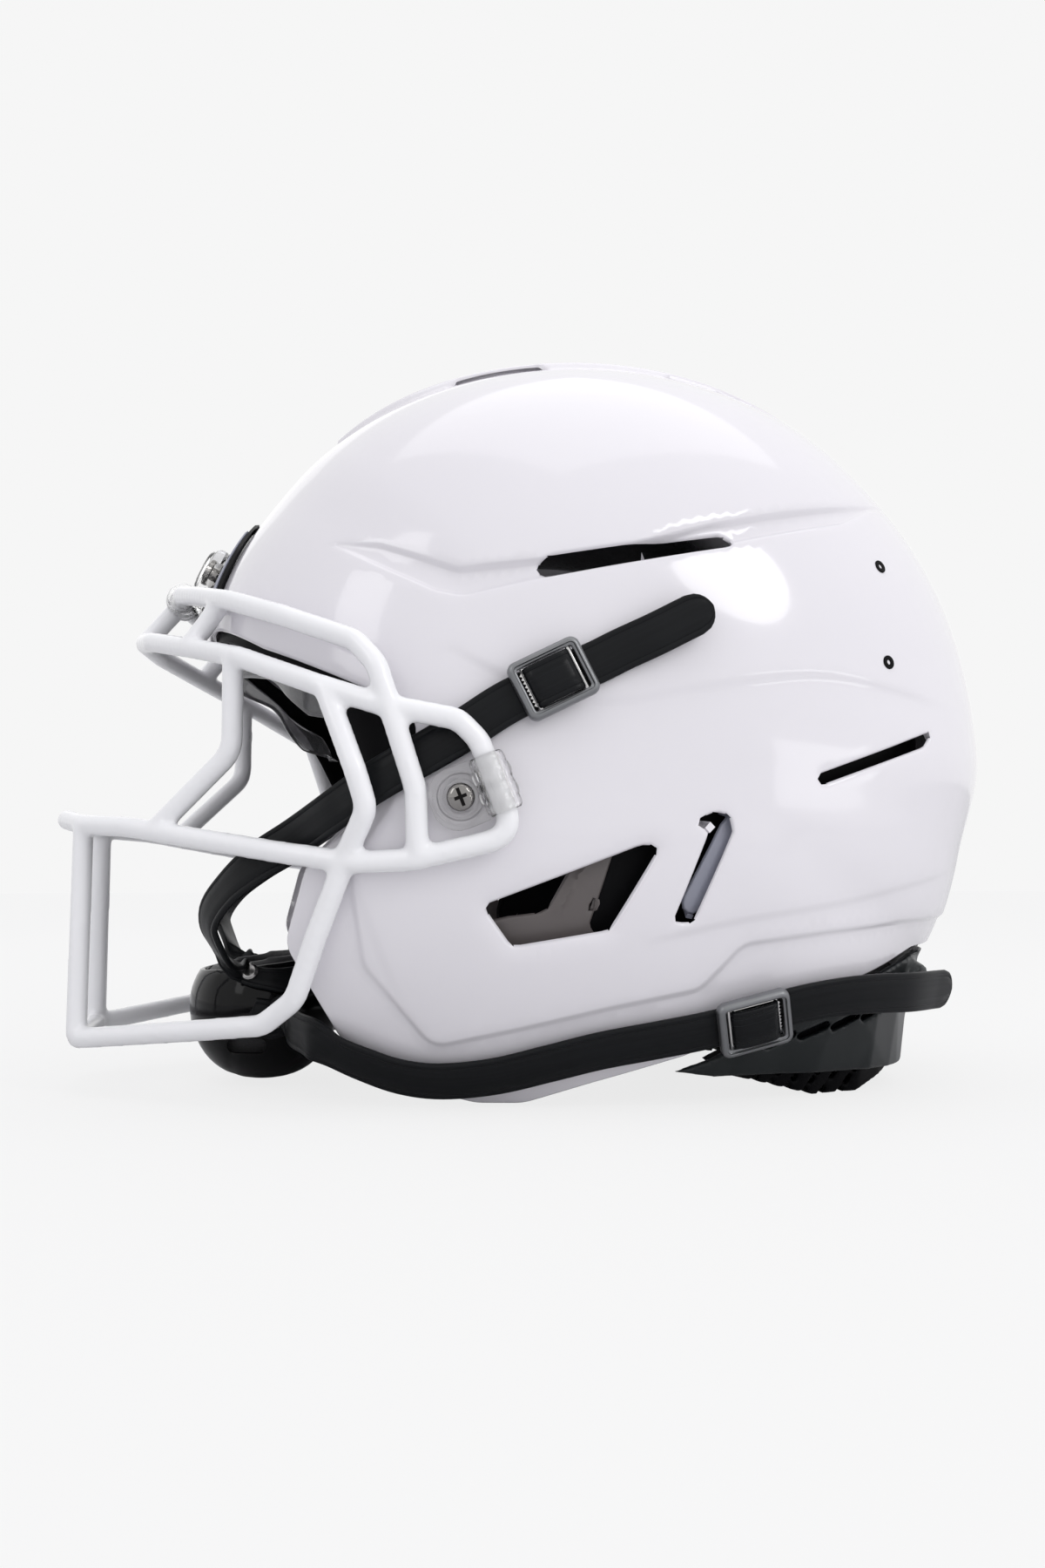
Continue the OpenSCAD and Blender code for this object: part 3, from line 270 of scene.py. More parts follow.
# %% A finish from the shared grain
def finish(name, dark, light, rough, change=0.05, patch=14.0, grain=600.0, bump=0.2, depth=0.02,
           **sockets):
    """Material with two close tones, a changing gloss and a fine grain depth in mm."""
    mat = bpy.data.materials.new(name)
    mat.use_nodes = True
    n, l = mat.node_tree.nodes, mat.node_tree.links
    bsdf = n["Principled BSDF"]
    g = n.new("ShaderNodeGroup")
    g.node_tree = GRAIN
    g.inputs["Patch Scale"].default_value = patch
    g.inputs["Grain Scale"].default_value = grain
    g.inputs["Roughness"].default_value = rough
    g.inputs["Roughness Change"].default_value = change
    tone = n.new("ShaderNodeMix")
    tone.data_type = "RGBA"
    tone.inputs["A"].default_value = (*dark, 1)
    tone.inputs["B"].default_value = (*light, 1)
    l.new(g.outputs["Tone"], tone.inputs["Factor"])
    l.new(tone.outputs["Result"], bsdf.inputs["Base Color"])
    l.new(g.outputs["Roughness"], bsdf.inputs["Roughness"])
    hit = n.new("ShaderNodeBump")
    hit.inputs["Strength"].default_value = bump
    hit.inputs["Distance"].default_value = depth * MM
    l.new(g.outputs["Height"], hit.inputs["Height"])
    l.new(hit.outputs["Normal"], bsdf.inputs["Normal"])
    for key, value in sockets.items():
        bsdf.inputs[key.replace("_", " ")].default_value = value
    return mat


SHELL = finish("gloss_white_shell", (0.785, 0.765, 0.81), (0.82, 0.802, 0.84), 0.13, 0.05, 6.0, 260.0,
               0.06, 0.02, Coat_Weight=0.6, Coat_Roughness=0.04)
COAT = finish("white_dipped_wire", (0.90, 0.90, 0.925), (0.93, 0.93, 0.95), 0.24, 0.06, 30.0, 90.0,
              0.25, 0.12, Coat_Weight=0.25, Coat_Roughness=0.12)
PIANO = finish("gloss_black", (0.002, 0.002, 0.0023), (0.004, 0.004, 0.0047), 0.1, 0.06, 20.0, 500.0,
               0.08, 0.02, Specular_IOR_Level=0.19)
GUARD = finish("dark_grey_plastic", (0.010, 0.0125, 0.0135), (0.016, 0.019, 0.0205), 0.3, 0.1, 25.0,
               900.0, 0.25, 0.03, Specular_IOR_Level=0.3)
RUBBER = finish("black_rubber", (0.0025, 0.0025, 0.003), (0.005, 0.005, 0.006), 0.5, 0.14, 35.0, 1100.0,
                0.35, 0.05, Specular_IOR_Level=0.08)
STEEL = finish("screw_steel", (0.36, 0.35, 0.345), (0.47, 0.46, 0.455), 0.22, 0.12, 160.0, 1500.0,
               0.2, 0.02, Metallic=1.0)
CHROME = finish("screw_chrome", (0.22, 0.212, 0.205), (0.34, 0.328, 0.318), 0.1, 0.06, 220.0, 1500.0,
                0.1, 0.02, Metallic=1.0)
PEWTER = finish("dark_plated_buckle", (0.19, 0.195, 0.205), (0.25, 0.255, 0.265), 0.34, 0.1, 90.0,
                1600.0, 0.25, 0.03, Metallic=0.85)
WIRE = finish("plated_wire", (0.55, 0.545, 0.54), (0.66, 0.655, 0.65), 0.16, 0.08, 120.0, 1500.0,
              0.12, 0.02, Metallic=1.0)
INLAY = finish("lavender_grey_facet", (0.27, 0.28, 0.34), (0.34, 0.35, 0.42), 0.2, 0.06, 30.0, 500.0,
               0.08, 0.02)
CLEAR = finish("clear_clip", (0.945, 0.945, 0.945), (0.97, 0.97, 0.97), 0.03, 0.03, 40.0, 300.0,
               0.02, 0.01, Transmission_Weight=1.0, IOR=1.5)
SMOKE = finish("smoky_clear_liner", (0.34, 0.34, 0.35), (0.44, 0.44, 0.45), 0.12, 0.05, 40.0, 300.0,
               0.1, 0.04, Transmission_Weight=0.7, IOR=1.45)
BRACKET = finish("taupe_bracket", (0.10, 0.088, 0.086), (0.135, 0.12, 0.118), 0.36, 0.1, 30.0, 800.0,
                 0.2, 0.03)
print("finishes:", len(bpy.data.materials))

# %% [markdown]
# The real shell is one moulding, a smooth dome with creases and openings in it. Its dome is
# the same one as in the CAD model: a side outline given as a radius for each direction, and
# a section that bulges to the ears. These functions repeat it, in millimetres, so that every
# piece made here lies on the same surface as its CAD node.

# %% The dome's surface
CENTRE_Y, CENTRE_Z, HALF_W = 25.5, 130.0, 119.0
WALL = 3.6
OUTLINE = np.array([(0, 163.5), (35, 164), (90, 162), (130, 165), (155, 166.5), (180, 157.5), (225, 196),
                    (270, 260), (300, 215), (328, 161), (345, 158), (360, 163.5)])


def ease(t):
    """Share from 0 to 1 with slow ends, along a half wave."""
    return 0.5 - 0.5 * np.cos(np.pi * np.clip(t, 0, 1))


def step(t):
    """Share from 0 to 1 with slow ends, along a cubic."""
    t = np.clip(t, 0, 1)
    return t * t * (3 - 2 * t)


def outline_r(angle):
    """Radius of the side outline for directions in degrees."""
    a = np.mod(angle, 360)
    i = np.clip(np.searchsorted(OUTLINE[:, 0], a, side="left") - 1, 0, len(OUTLINE) - 2)
    a0, a1, r0, r1 = OUTLINE[i, 0], OUTLINE[i + 1, 0], OUTLINE[i, 1], OUTLINE[i + 1, 1]
    return r0 + (r1 - r0) * ease((a - a0) / (a1 - a0))


def half_width(z):
    """Half of the dome's width at a height, drawn in toward the floor."""
    return HALF_W - 26 * np.clip(1 - z / 100, 0, 1) ** 2


def fullness(z):
    """Power of the dome's section: boxy low down, rounder toward the crown."""
    return 3.4 + (2.6 - 3.4) * ease((z - CENTRE_Z + 60) / 100)


def share(y, z):
    """Share of the way from the dome's centre to its side outline."""
    dy, dz = y - CENTRE_Y, z - CENTRE_Z
    return np.hypot(dy, dz) / outline_r(np.degrees(np.arctan2(dz, dy)))


def around(angle, r):
    """Side-view place at a radius from the dome's centre, the direction in degrees."""
    a = np.radians(angle)
    return CENTRE_Y + r * np.cos(a), CENTRE_Z + r * np.sin(a)


def side_x(y, z):
    """Half width of the dome at a place of its side view."""
    return half_width(z) * np.maximum(0, 1 - share(y, z) ** fullness(z)) ** (1 / 2.2)


print("the dome's greatest half width:", float(side_x(CENTRE_Y, CENTRE_Z)))

# %% [markdown]
# A place on the dome is asked for in two ways: by its side view, for what is drawn on the
# side, and by a direction and a turn, for what lies round the crown and the brow. Either can
# be lifted off the surface along the normal. The normal is measured from how the dome's level
# changes close by, because a formula for it would be long and easy to get wrong.

# %% Places and normals on the dome
def level(p):
    """1 on the dome, less inside it and more outside it."""
    x, y, z = p[..., 0], p[..., 1], p[..., 2]
    return share(y, z) ** fullness(z) + (np.abs(x) / half_width(z)) ** 2.2


def normals(p, h=0.25):
    """Outward ways of the dome, from how its level changes over h millimetres."""
    p = np.asarray(p, float)
    g = np.stack([level(p + h * d) - level(p - h * d) for d in np.eye(3)], -1)
    return g / np.maximum(np.linalg.norm(g, axis=-1, keepdims=True), 1e-12)


def on_side(y, z, lift=0.0):
    """Places on the left side of the dome, from their side view."""
    y, z = np.asarray(y, float), np.asarray(z, float)
    p = np.stack([side_x(y, z), y, z], -1)
    return p + np.asarray(lift, float)[..., None] * normals(p)


def skin(a, b, lift=0.0):
    """Places on the dome by direction a and turn b out of the mirror plane, in degrees."""
    a, b = np.asarray(a, float), np.asarray(b, float)
    y, z = around(a, outline_r(a) * np.cos(np.radians(b)) ** 0.7)
    x = np.where(b == 0, 0.0, np.sign(b) * side_x(y, z))
    p = np.stack([x, y, z], -1)
    return p + np.asarray(lift, float)[..., None] * normals(p)


print("the dome's widest place:", np.round(on_side(CENTRE_Y, CENTRE_Z), 1))

# %% [markdown]
# Creases and openings are drawn on the side view, as on a pattern. Round corners keep the
# drawing true to a moulding, which has no sharp inside corner.

# %% Drawing tools for the side view
def round_corners(points, radius, steps=6, closed=True):
    """Polyline with each corner replaced by an arc of the radius, or less on a short side."""
    pts = [np.array(p, float) for p in points]
    n = len(pts)
    out = []
    for i in range(n):
        if not closed and i in (0, n - 1):
            out.append(pts[i])
            continue
        p, a, b = pts[i], pts[i - 1] - pts[i], pts[(i + 1) % n] - pts[i]
        la, lb = np.linalg.norm(a), np.linalg.norm(b)
        a, b = a / la, b / lb
        half = math.acos(max(-1.0, min(1.0, float(a @ b)))) / 2
        if half > math.radians(88):
            out.append(p)
            continue
        cut = min(radius / math.tan(half), 0.48 * la, 0.48 * lb)
        for k in range(steps + 1):
            t = k / steps
            out.append((1 - t) ** 2 * (p + a * cut) + 2 * t * (1 - t) * p + t * t * (p + b * cut))
    return np.array(out)


def hull_of(circles, steps=24):
    """Outline of the hull of circles, each (y, z, radius)."""
    turns = np.linspace(0, 2 * math.pi, steps, endpoint=False)
    pts = sorted({(round(y + r * math.cos(t), 4), round(z + r * math.sin(t), 4))
                  for y, z, r in circles for t in turns})

    def half(row):
        chain = []
        for q in row:
            while len(chain) > 1 and ((chain[-1][0] - chain[-2][0]) * (q[1] - chain[-2][1])
                                      - (chain[-1][1] - chain[-2][1]) * (q[0] - chain[-2][0])) <= 0:
                chain.pop()
            chain.append(q)
        return chain[:-1]
    return np.array(half(pts) + half(pts[::-1]))


def resample(points, spacing, closed=False):
    """The same line cut into even steps no longer than the spacing, its corners kept."""
    pts = np.asarray(points, float)
    if closed:
        pts = np.vstack([pts, pts[:1]])
    out = [pts[0]]
    for p, q in zip(pts[:-1], pts[1:]):
        n = max(1, int(math.ceil(np.linalg.norm(q - p) / spacing)))
        out.extend(p + (q - p) * k / n for k in range(1, n + 1))
    return np.array(out[:-1] if closed else out)


def run_length(points):
    """Distance along a line at each of its points."""
    return np.concatenate([[0], np.cumsum(np.linalg.norm(np.diff(points, axis=0), axis=1))])


print("the way round a 3 by 4 corner:", run_length([(0, 0), (3, 0), (3, 4)])[-1])

# %% [markdown]
# Two questions come up for every opening and crease: does a place lie inside the drawn loop,
# and how far is it from the line. A ray to one side answers the first, by how often it crosses
# the loop. The second is measured to each short piece of the line in turn. Both take all
# points at once, because a loop over them in Python would be slow.

# %% Inside a loop, and how far from a line
def inside(points, loop):
    """True for each [y, z] point that lies inside the closed loop."""
    y, z = points[:, 0], points[:, 1]
    found = np.zeros(len(points), bool)
    for (y0, z0), (y1, z1) in zip(loop, np.roll(loop, -1, axis=0)):
        if z0 == z1:
            continue
        cross = (z0 > z) != (z1 > z)
        found ^= cross & (y < (y1 - y0) * (z - z0) / (z1 - z0) + y0)
    return found


def distance(points, line, closed=False):
    """Least distance from each 3D point to a 3D line."""
    line = np.vstack([line, line[:1]]) if closed else line
    best = np.full(len(points), 1e9)
    for p, q in zip(line[:-1], line[1:]):
        d = q - p
        t = np.clip(((points - p) @ d) / max(d @ d, 1e-12), 0, 1)
        best = np.minimum(best, np.linalg.norm(points - (p + t[:, None] * d), axis=1))
    return best


def nearest(points, lines):
    """Least distance from each 3D point to any of the lines, each (3D points, closed)."""
    best = np.full(len(points), 1e9)
    for line, closed in lines:
        best = np.minimum(best, distance(points, line, closed))
    return best


def between(yz, outline, holes):
    """True for each side-view point inside the outline and outside every hole."""
    ok = inside(yz, outline)
    for hole in holes:
        ok &= ~inside(yz, hole)
    return ok


unit = np.array([(0, 0), (1, 0), (1, 1), (0, 1)])
print("the middle of a square lies inside it:", bool(inside(np.array([[0.5, 0.5]]), unit)[0]))

# %% [markdown]
# A shell with creases could be cut from a subdivided sphere, but then no edge lies on a
# crease and a gloss surface shows it at once. Instead half of the dome is laid flat as a
# disc, with its widest place in the middle and the mirror plane at the rim. Every crease and
# every edge of an opening is drawn in the disc as a line, the space between is filled with
# even triangles, and the sheet is then lifted back onto the dome. The mirror operator makes
# the other half.

# %% The dome laid flat
REACH = np.linspace(0, 1, 400) ** 0.8
FLAT_R = run_length(np.stack([HALF_W * (1 - REACH ** 2.9) ** (1 / 2.2), 160 * REACH], 1))


def to_flat(p):
    """Disc coordinates of 3D points by their side view."""
    dy, dz = p[:, 1] - CENTRE_Y, p[:, 2] - CENTRE_Z
    a = np.arctan2(dz, dy)
    s = np.minimum(1, np.hypot(dy, dz) / outline_r(np.degrees(a)))
    r = np.interp(s, REACH, FLAT_R)
    return np.stack([r * np.cos(a), r * np.sin(a)], 1)


def from_flat(q):
    """Side view [y, z] of disc coordinates."""
    a = np.arctan2(q[:, 1], q[:, 0])
    s = np.interp(np.hypot(q[:, 0], q[:, 1]), FLAT_R, REACH)
    r = outline_r(np.degrees(a)) * s
    return np.stack([CENTRE_Y + r * np.cos(a), CENTRE_Z + r * np.sin(a)], 1)


print("disc radius in mm:", round(float(FLAT_R[-1]), 1))

# %% [markdown]
# A line of the drawing has to follow the dome, so each of its points is pushed straight out
# to the surface. Its points are spaced evenly only there, because near the mirror plane the
# surface slopes steeply and would draw an even spacing apart. A line that leaves the dome is
# cut where the dome ends.

# %% Lines on the dome
def lifted(yz, closed=False, spacing=2.4):
    """3D runs of a side-view line on the dome. A line that leaves the dome is cut at its rim."""
    pts = resample(yz, spacing * 0.5, closed)
    if closed:
        pts = np.vstack([pts, pts[:1]])
    s = share(pts[:, 0], pts[:, 1])
    runs, run = [], []
    for i, p in enumerate(pts):
        if s[i] < 1:
            if not run and i > 0:
                run.append(edge_between(pts[i - 1], p))
            run.append(p)
        elif run:
            run.append(edge_between(p, run[-1]))
            runs.append(run)
            run = []
    if run:
        runs.append(run)
    if closed and len(runs) > 1 and s[0] < 1:
        runs[0] = runs.pop()[:-1] + runs[0]
    made = []
    for r in map(np.array, runs):
        along = run_length(on_side(r[:, 0], r[:, 1]))
        t = np.linspace(0, along[-1], max(2, int(round(along[-1] / spacing)) + 1))
        made.append(on_side(*(np.interp(t, along, r[:, k]) for k in (0, 1))))
    return made


def edge_between(outside, within):
    """The place between two side-view points where the dome ends."""
    a, b = np.array(outside, float), np.array(within, float)
    for _ in range(30):
        m = (a + b) / 2
        if share(m[0], m[1]) >= 1:
            a = m
        else:
            b = m
    return b


def beside(line, offset):
    """The line moved sideways on the dome by the offset."""
    t = np.gradient(line, axis=0)
    t /= np.maximum(np.linalg.norm(t, axis=1, keepdims=True), 1e-9)
    side = np.cross(normals(line), t)
    return line + side * offset


def edge_rows(runs, offsets):
    """Lines beside each run, at every offset and to both sides."""
    return [(beside(run, sign * d), closed) for run, closed in runs for d in offsets for sign in (-1, 1)]


print("points of a line along the side:", len(lifted(np.array([(-60, 130), (110, 130)]))[0]))

# %% [markdown]
# A skin of even triangles bends smoothly and takes the light without blotches. Free points
# are spread over the surface in rings, and those too near a line are dropped. A constrained
# Delaunay triangulation then joins all points and keeps every line as an edge, and the
# triangles that lie in an opening are left out.

# %% Fill the sheet between its lines
def even_points(gap):
    """3D points spread evenly over half of the dome, in rings round its widest place."""
    angles = np.arange(0, 360, 1.0)
    full_turn = np.append(angles, 360.0)
    reach = 1 - (1 - np.linspace(0, 1, 240)) ** 1.8
    a, s = np.meshgrid(angles, reach, indexing="ij")
    y, z = around(a, outline_r(a) * s)
    far = np.array([run_length(row) for row in np.stack([side_x(y, z), y, z], -1)])
    found = [on_side(np.array([CENTRE_Y]), np.array([CENTRE_Z]))]
    for k in range(1, int(far[:, -1].max() / gap)):
        sk = np.array([np.interp(k * gap, row, reach, right=2.0) for row in far])
        ok = sk < 0.9995
        yk, zk = around(angles, outline_r(angles) * np.minimum(sk, 1))
        ring = np.stack([side_x(yk, zk), yk, zk], -1)
        length = run_length(np.vstack([ring, ring[:1]]))
        n = max(6, int(round(length[-1] / gap)))
        t = (np.arange(n) + 0.5 * (k % 2)) / n * length[-1]
        at = np.interp(t, length, full_turn)
        keep = np.interp(at, full_turn, np.append(ok, ok[0]).astype(float)) > 0.99
        yt, zt = around(at, outline_r(at) * np.interp(at, full_turn, np.append(sk, sk[0])))
        found.append(on_side(yt[keep], zt[keep]))
    return np.concatenate(found)


def fill_sheet(lines, keep, gap, clear=0.45):
    """Triangles over half of the dome with an edge on every line. lines holds (3D points, closed).
    keep says which triangles stay, from the side view and x of their middles."""
    free = even_points(gap)
    free = free[nearest(free, lines) > clear * gap]
    flat, edges = [], []
    for line, closed in lines:
        first = len(flat)
        flat.extend(to_flat(line))
        count = len(line)
        edges.extend((first + i, first + i + 1) for i in range(count - 1))
        if closed:
            edges.append((first + count - 1, first))
    flat.extend(to_flat(free))
    spots = [Vector(map(float, q)) for q in flat]
    verts, _, faces, _, _, _ = delaunay_2d_cdt(spots, edges, [], 0, 1e-5, False)
    verts = np.array([tuple(v) for v in verts])
    faces = np.array([f for f in faces if len(f) == 3])
    yz = from_flat(verts)
    r = np.hypot(verts[:, 0], verts[:, 1])
    on_rim = r > FLAT_R[-1] - 1e-3
    xyz = on_side(yz[:, 0], yz[:, 1])
    xyz[on_rim, 0] = 0.0
    middle_yz = from_flat(verts[faces].mean(axis=1))
    middle_x = side_x(middle_yz[:, 0], middle_yz[:, 1])
    faces = faces[keep(middle_yz, middle_x)]
    return xyz, faces


def rim_line_points(gap):
    """The mirror plane's edge of the half dome."""
    a = np.arange(0, 360, 0.5)
    p = skin(a, np.zeros(len(a)))
    far = run_length(np.vstack([p, p[:1]]))
    n = int(far[-1] / gap)
    at = np.interp(np.arange(n) / n * far[-1], far, np.append(a, 360.0))
    return skin(at, np.zeros(n))


def sheet_mesh(xyz, faces):
    """bmesh of a lifted sheet, in mm, without loose points."""
    bm = bmesh.new()
    used = np.unique(faces)
    made = {int(i): bm.verts.new(tuple(float(c) for c in xyz[i])) for i in used}
    for f in faces:
        bm.faces.new([made[int(i)] for i in f])
    bmesh.ops.remove_doubles(bm, verts=bm.verts, dist=0.02)
    return bm


def both_halves(bm):
    """Sheet mirrored to the other half, its faces turned away from the dome's centre."""
    bmesh.ops.mirror(bm, geom=bm.verts[:] + bm.edges[:] + bm.faces[:], axis="X", merge_dist=0.02)
    bmesh.ops.recalc_face_normals(bm, faces=bm.faces)
    heart = Vector((0, CENTRE_Y, CENTRE_Z))
    if sum(f.normal.dot(f.calc_center_median() - heart) for f in bm.faces) < 0:
        bmesh.ops.reverse_faces(bm, faces=bm.faces)
    return bm


print("points of a 20 mm sheet:", len(even_points(20.0)))

# %% [markdown]
# Pieces made in millimetres are scaled to metres in one place. There the doubles are merged,
# the faces turned outwards, and edges sharper than the stated angle kept crisp.

# %% From a bmesh to a piece
def to_object(name, bm, material, sharp):
    """Object of a bmesh given in mm, with its finish, linked to the scene."""
    bmesh.ops.scale(bm, vec=(MM, MM, MM), verts=bm.verts)
    mesh = bpy.data.meshes.new(name)
    bm.to_mesh(mesh)
    bm.free()
    obj = bpy.data.objects.new(name, mesh)
    scene.collection.objects.link(obj)
    if material:
        mesh.materials.append(material)
        soften(mesh, sharp)
    return obj


def piece(name, bm, material, body="helmet", sharp=35, tidy=True, stands_for=()):
    """Object of the mesh, riding on its body and standing for CAD nodes."""
    if tidy:
        bmesh.ops.remove_doubles(bm, verts=bm.verts, dist=0.004)
        bmesh.ops.recalc_face_normals(bm, faces=bm.faces)
    obj = to_object(name, bm, material, sharp)
    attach(obj, body)
    if stands_for:
        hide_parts(*stands_for)
    return obj


def soften(mesh, sharp):
    """Smooth shading, broken at edges sharper than the angle."""
    mesh.shade_smooth()
    mesh.set_sharp_from_angle(angle=math.radians(sharp))


def settle(obj, sharp=35):
    """Modifiers made final, so that the shading angle is taken from the finished shape."""
    made = bpy.data.meshes.new_from_object(obj.evaluated_get(bpy.context.evaluated_depsgraph_get()))
    obj.modifiers.clear()
    old = obj.data
    obj.data = made
    made.name = old.name
    bpy.data.meshes.remove(old)
    soften(made, sharp)
    return len(made.polygons)


def thicken(obj, depth, sharp=35, even=True):
    """Sheet given a thickness in mm on its inner side."""
    wall = obj.modifiers.new("wall", "SOLIDIFY")
    wall.thickness = depth * MM
    wall.offset = -1.0
    wall.use_even_offset = even
    return settle(obj, sharp)


# %% [markdown]
# The side of this helmet has a recessed channel between two creases, with the long vent in
# it. Above it the upper dome stands proud, and a raised band runs over the crown. Below, a
# panel carries the ear opening, and its lower and front edges step down to a plain rim.

# %% Lines and openings of the shell
shell_outline = round_corners([(-200, 179), (-128, 178), (-109, 165), (-74, 148), (-55, 137), (-58, 121),
                               (-94, 86), (-101, 58), (-80, 23), (-48, 4), (-32, 0), (-14, 0), (8, 7),
                               (43, 17), (94, 40), (140, 54), (260, 60), (260, 400), (-200, 400)], 12)
upper_line = np.array([(-83, 202), (-68, 200), (-41, 189), (5, 194), (48, 207), (105, 221), (124, 226),
                       (160, 237)])
lower_line = np.array([(-83, 201), (-66, 191), (-49, 182), (-40, 180), (-15, 186), (57, 202), (106, 215),
                       (124, 225), (160, 235)])
rim_loop = round_corners([(200, 68), (130, 65), (92, 62), (60, 58), (45, 42), (13, 36), (-17, 29),
                          (-35, 25), (-48, 22), (-73, 51), (-79, 84), (-62, 112), (-80, 130), (-200, 130),
                          (-200, 400), (200, 400)], 9)
mid_line = np.array([(-44, 161), (-20, 149), (10, 143), (41, 148), (85, 154), (119, 151), (153, 145)])
low_line = np.array([(27, 60), (60, 67), (100, 73), (130, 79), (160, 85)])
jaw_line = np.array([(-60, 39), (-66, 52), (-72, 67), (-78, 84)])
band_plan = np.array([(-78, 11), (-66, 22), (-42, 33), (10, 37), (70, 36), (115, 29), (170, 18)])

ear_hole = hull_of([(-30, 71, 2), (-21, 62, 4), (9, 66, 3), (25, 91, 2), (22, 91, 2)])
hook_hole = round_corners([(33.2, 66), (40.5, 66.2), (54.4, 98), (53, 103.8), (48, 104.8), (42.6, 102.6),
                           (41.6, 99.8), (46, 98.2)], 1.8, 5)
rear_hole = hull_of([(89, 117, 2), (134, 132, 1.8), (137, 134.5, 1.2)])
side_hole = hull_of([(-12, 190, 2), (-9, 192, 2), (-11, 189, 2), (53, 203, 2), (56, 202, 1.5)])
side_openings = [ear_hole, hook_hole, rear_hole, side_hole]
# Crown vents lie along the band's side step, given in plan as [y, x]
crown_openings = [np.array([(-37, 37), (-32, 33.2), (-20, 33.8), (0, 35.2), (4, 38.6), (0, 39.6),
                            (-20, 38.6), (-33, 37.6)]),
                  np.array([(52, 38.6), (54, 36.6), (70, 35.6), (86, 33), (92, 33.4), (88, 36),
                            (70, 38.6)])]
print("openings on a side:", len(side_openings) + len(crown_openings))

# %% [markdown]
# A mould maker scribes such lines onto the model by hand. Here a side-view line is lifted
# straight out to the dome, while the crown's band is drawn in plan, so its height is found by
# halving the step until the point lies on the surface. Beside each line run a few others at
# set distances: they give the fill an even strip to bend in, and the crease stays smooth.

# %% Lines raised onto the dome
def plan_to_dome(yx):
    """3D places on the crown above plan points [y, x]."""
    low, high = np.full(len(yx), CENTRE_Z + 30.0), np.full(len(yx), CENTRE_Z + 175.0)
    for _ in range(40):
        z = (low + high) / 2
        p = np.stack([yx[:, 1], yx[:, 0], z], 1)
        outside = level(p) > 1
        high, low = np.where(outside, z, high), np.where(outside, low, z)
    return np.stack([yx[:, 1], yx[:, 0], (low + high) / 2], 1)


def smooth_line(points, steps=8):
    """Curve through the points, as a pencil would join them."""
    pts = np.asarray(points, float)
    out = []
    for i in range(len(pts) - 1):
        a, b, c, d = pts[max(0, i - 1)], pts[i], pts[i + 1], pts[min(len(pts) - 1, i + 2)]
        for k in range(steps):
            t = k / steps
            out.append(0.5 * (2 * b + (c - a) * t + (2 * a - 5 * b + 4 * c - d) * t * t
                              + (3 * b - a - 3 * c + d) * t ** 3))
    out.append(pts[-1])
    return np.array(out)


rounded = {"upper": round_corners(upper_line, 7, 6, False), "lower": round_corners(lower_line, 9, 6, False),
           "mid": smooth_line(mid_line), "low": smooth_line(low_line), "jaw": smooth_line(jaw_line)}
band_edge = smooth_line(band_plan)
band_front = np.stack([np.full(6, -78.0), np.linspace(0, 11, 6)], 1)
band_loop = round_corners(np.vstack([band_front[:1], band_front[-1:], band_edge[1:]]), 8, 6, False)
relief = {name: lifted(line)[0] for name, line in rounded.items()}
relief["rim"] = max(lifted(rim_loop, True), key=len)
relief["band"] = plan_to_dome(resample(band_loop, 2.4))
hole_rims = [lifted(hole, True)[0][:-1] for hole in side_openings]
borders = [(run, False) for run in lifted(shell_outline, True)]
borders += [(rim, True) for rim in hole_rims]
borders += [(plan_to_dome(resample(hole, 2.0, True)), True) for hole in crown_openings]
WIDTH = {"upper": 1.1, "lower": 1.3, "rim": 1.8, "mid": 2.4, "low": 2.0, "jaw": 2.6, "band": 1.9}
SHELL_GAP = 2.9
lines = [(rim_line_points(SHELL_GAP), True)] + borders + edge_rows(borders, (0.35, 0.85, 1.35))
for name, line in relief.items():
    for d in (-1.0, -0.5, 0.0, 0.5, 1.0):
        lines.append((beside(line, d * WIDTH[name]), False))
print("lines in the sheet:", len(lines))

# %% [markdown]
# With the sheet filled, each point moves along the dome's normal by the height of the relief
# there: how far it is from each crease decides it. At an opening the sheet curls over by a
# quarter circle, which gives the thin bright edge that every opening of the real shell has.

# %% Height of the relief
# In mm: rise of the dome above the channel, depth of the channel and of the rim, rise of the band
PROUD, SUNK, RIM_DROP, BAND_RISE = 1.7, 1.5, 1.5, 4.4


def signed_by_line(p, name, line_yz):
    """Distance above a crease, negative below it."""
    d = distance(p, relief[name])
    over = p[:, 2] - np.interp(p[:, 1], line_yz[:, 0], line_yz[:, 1])
    return np.where(over > 0, d, -d)


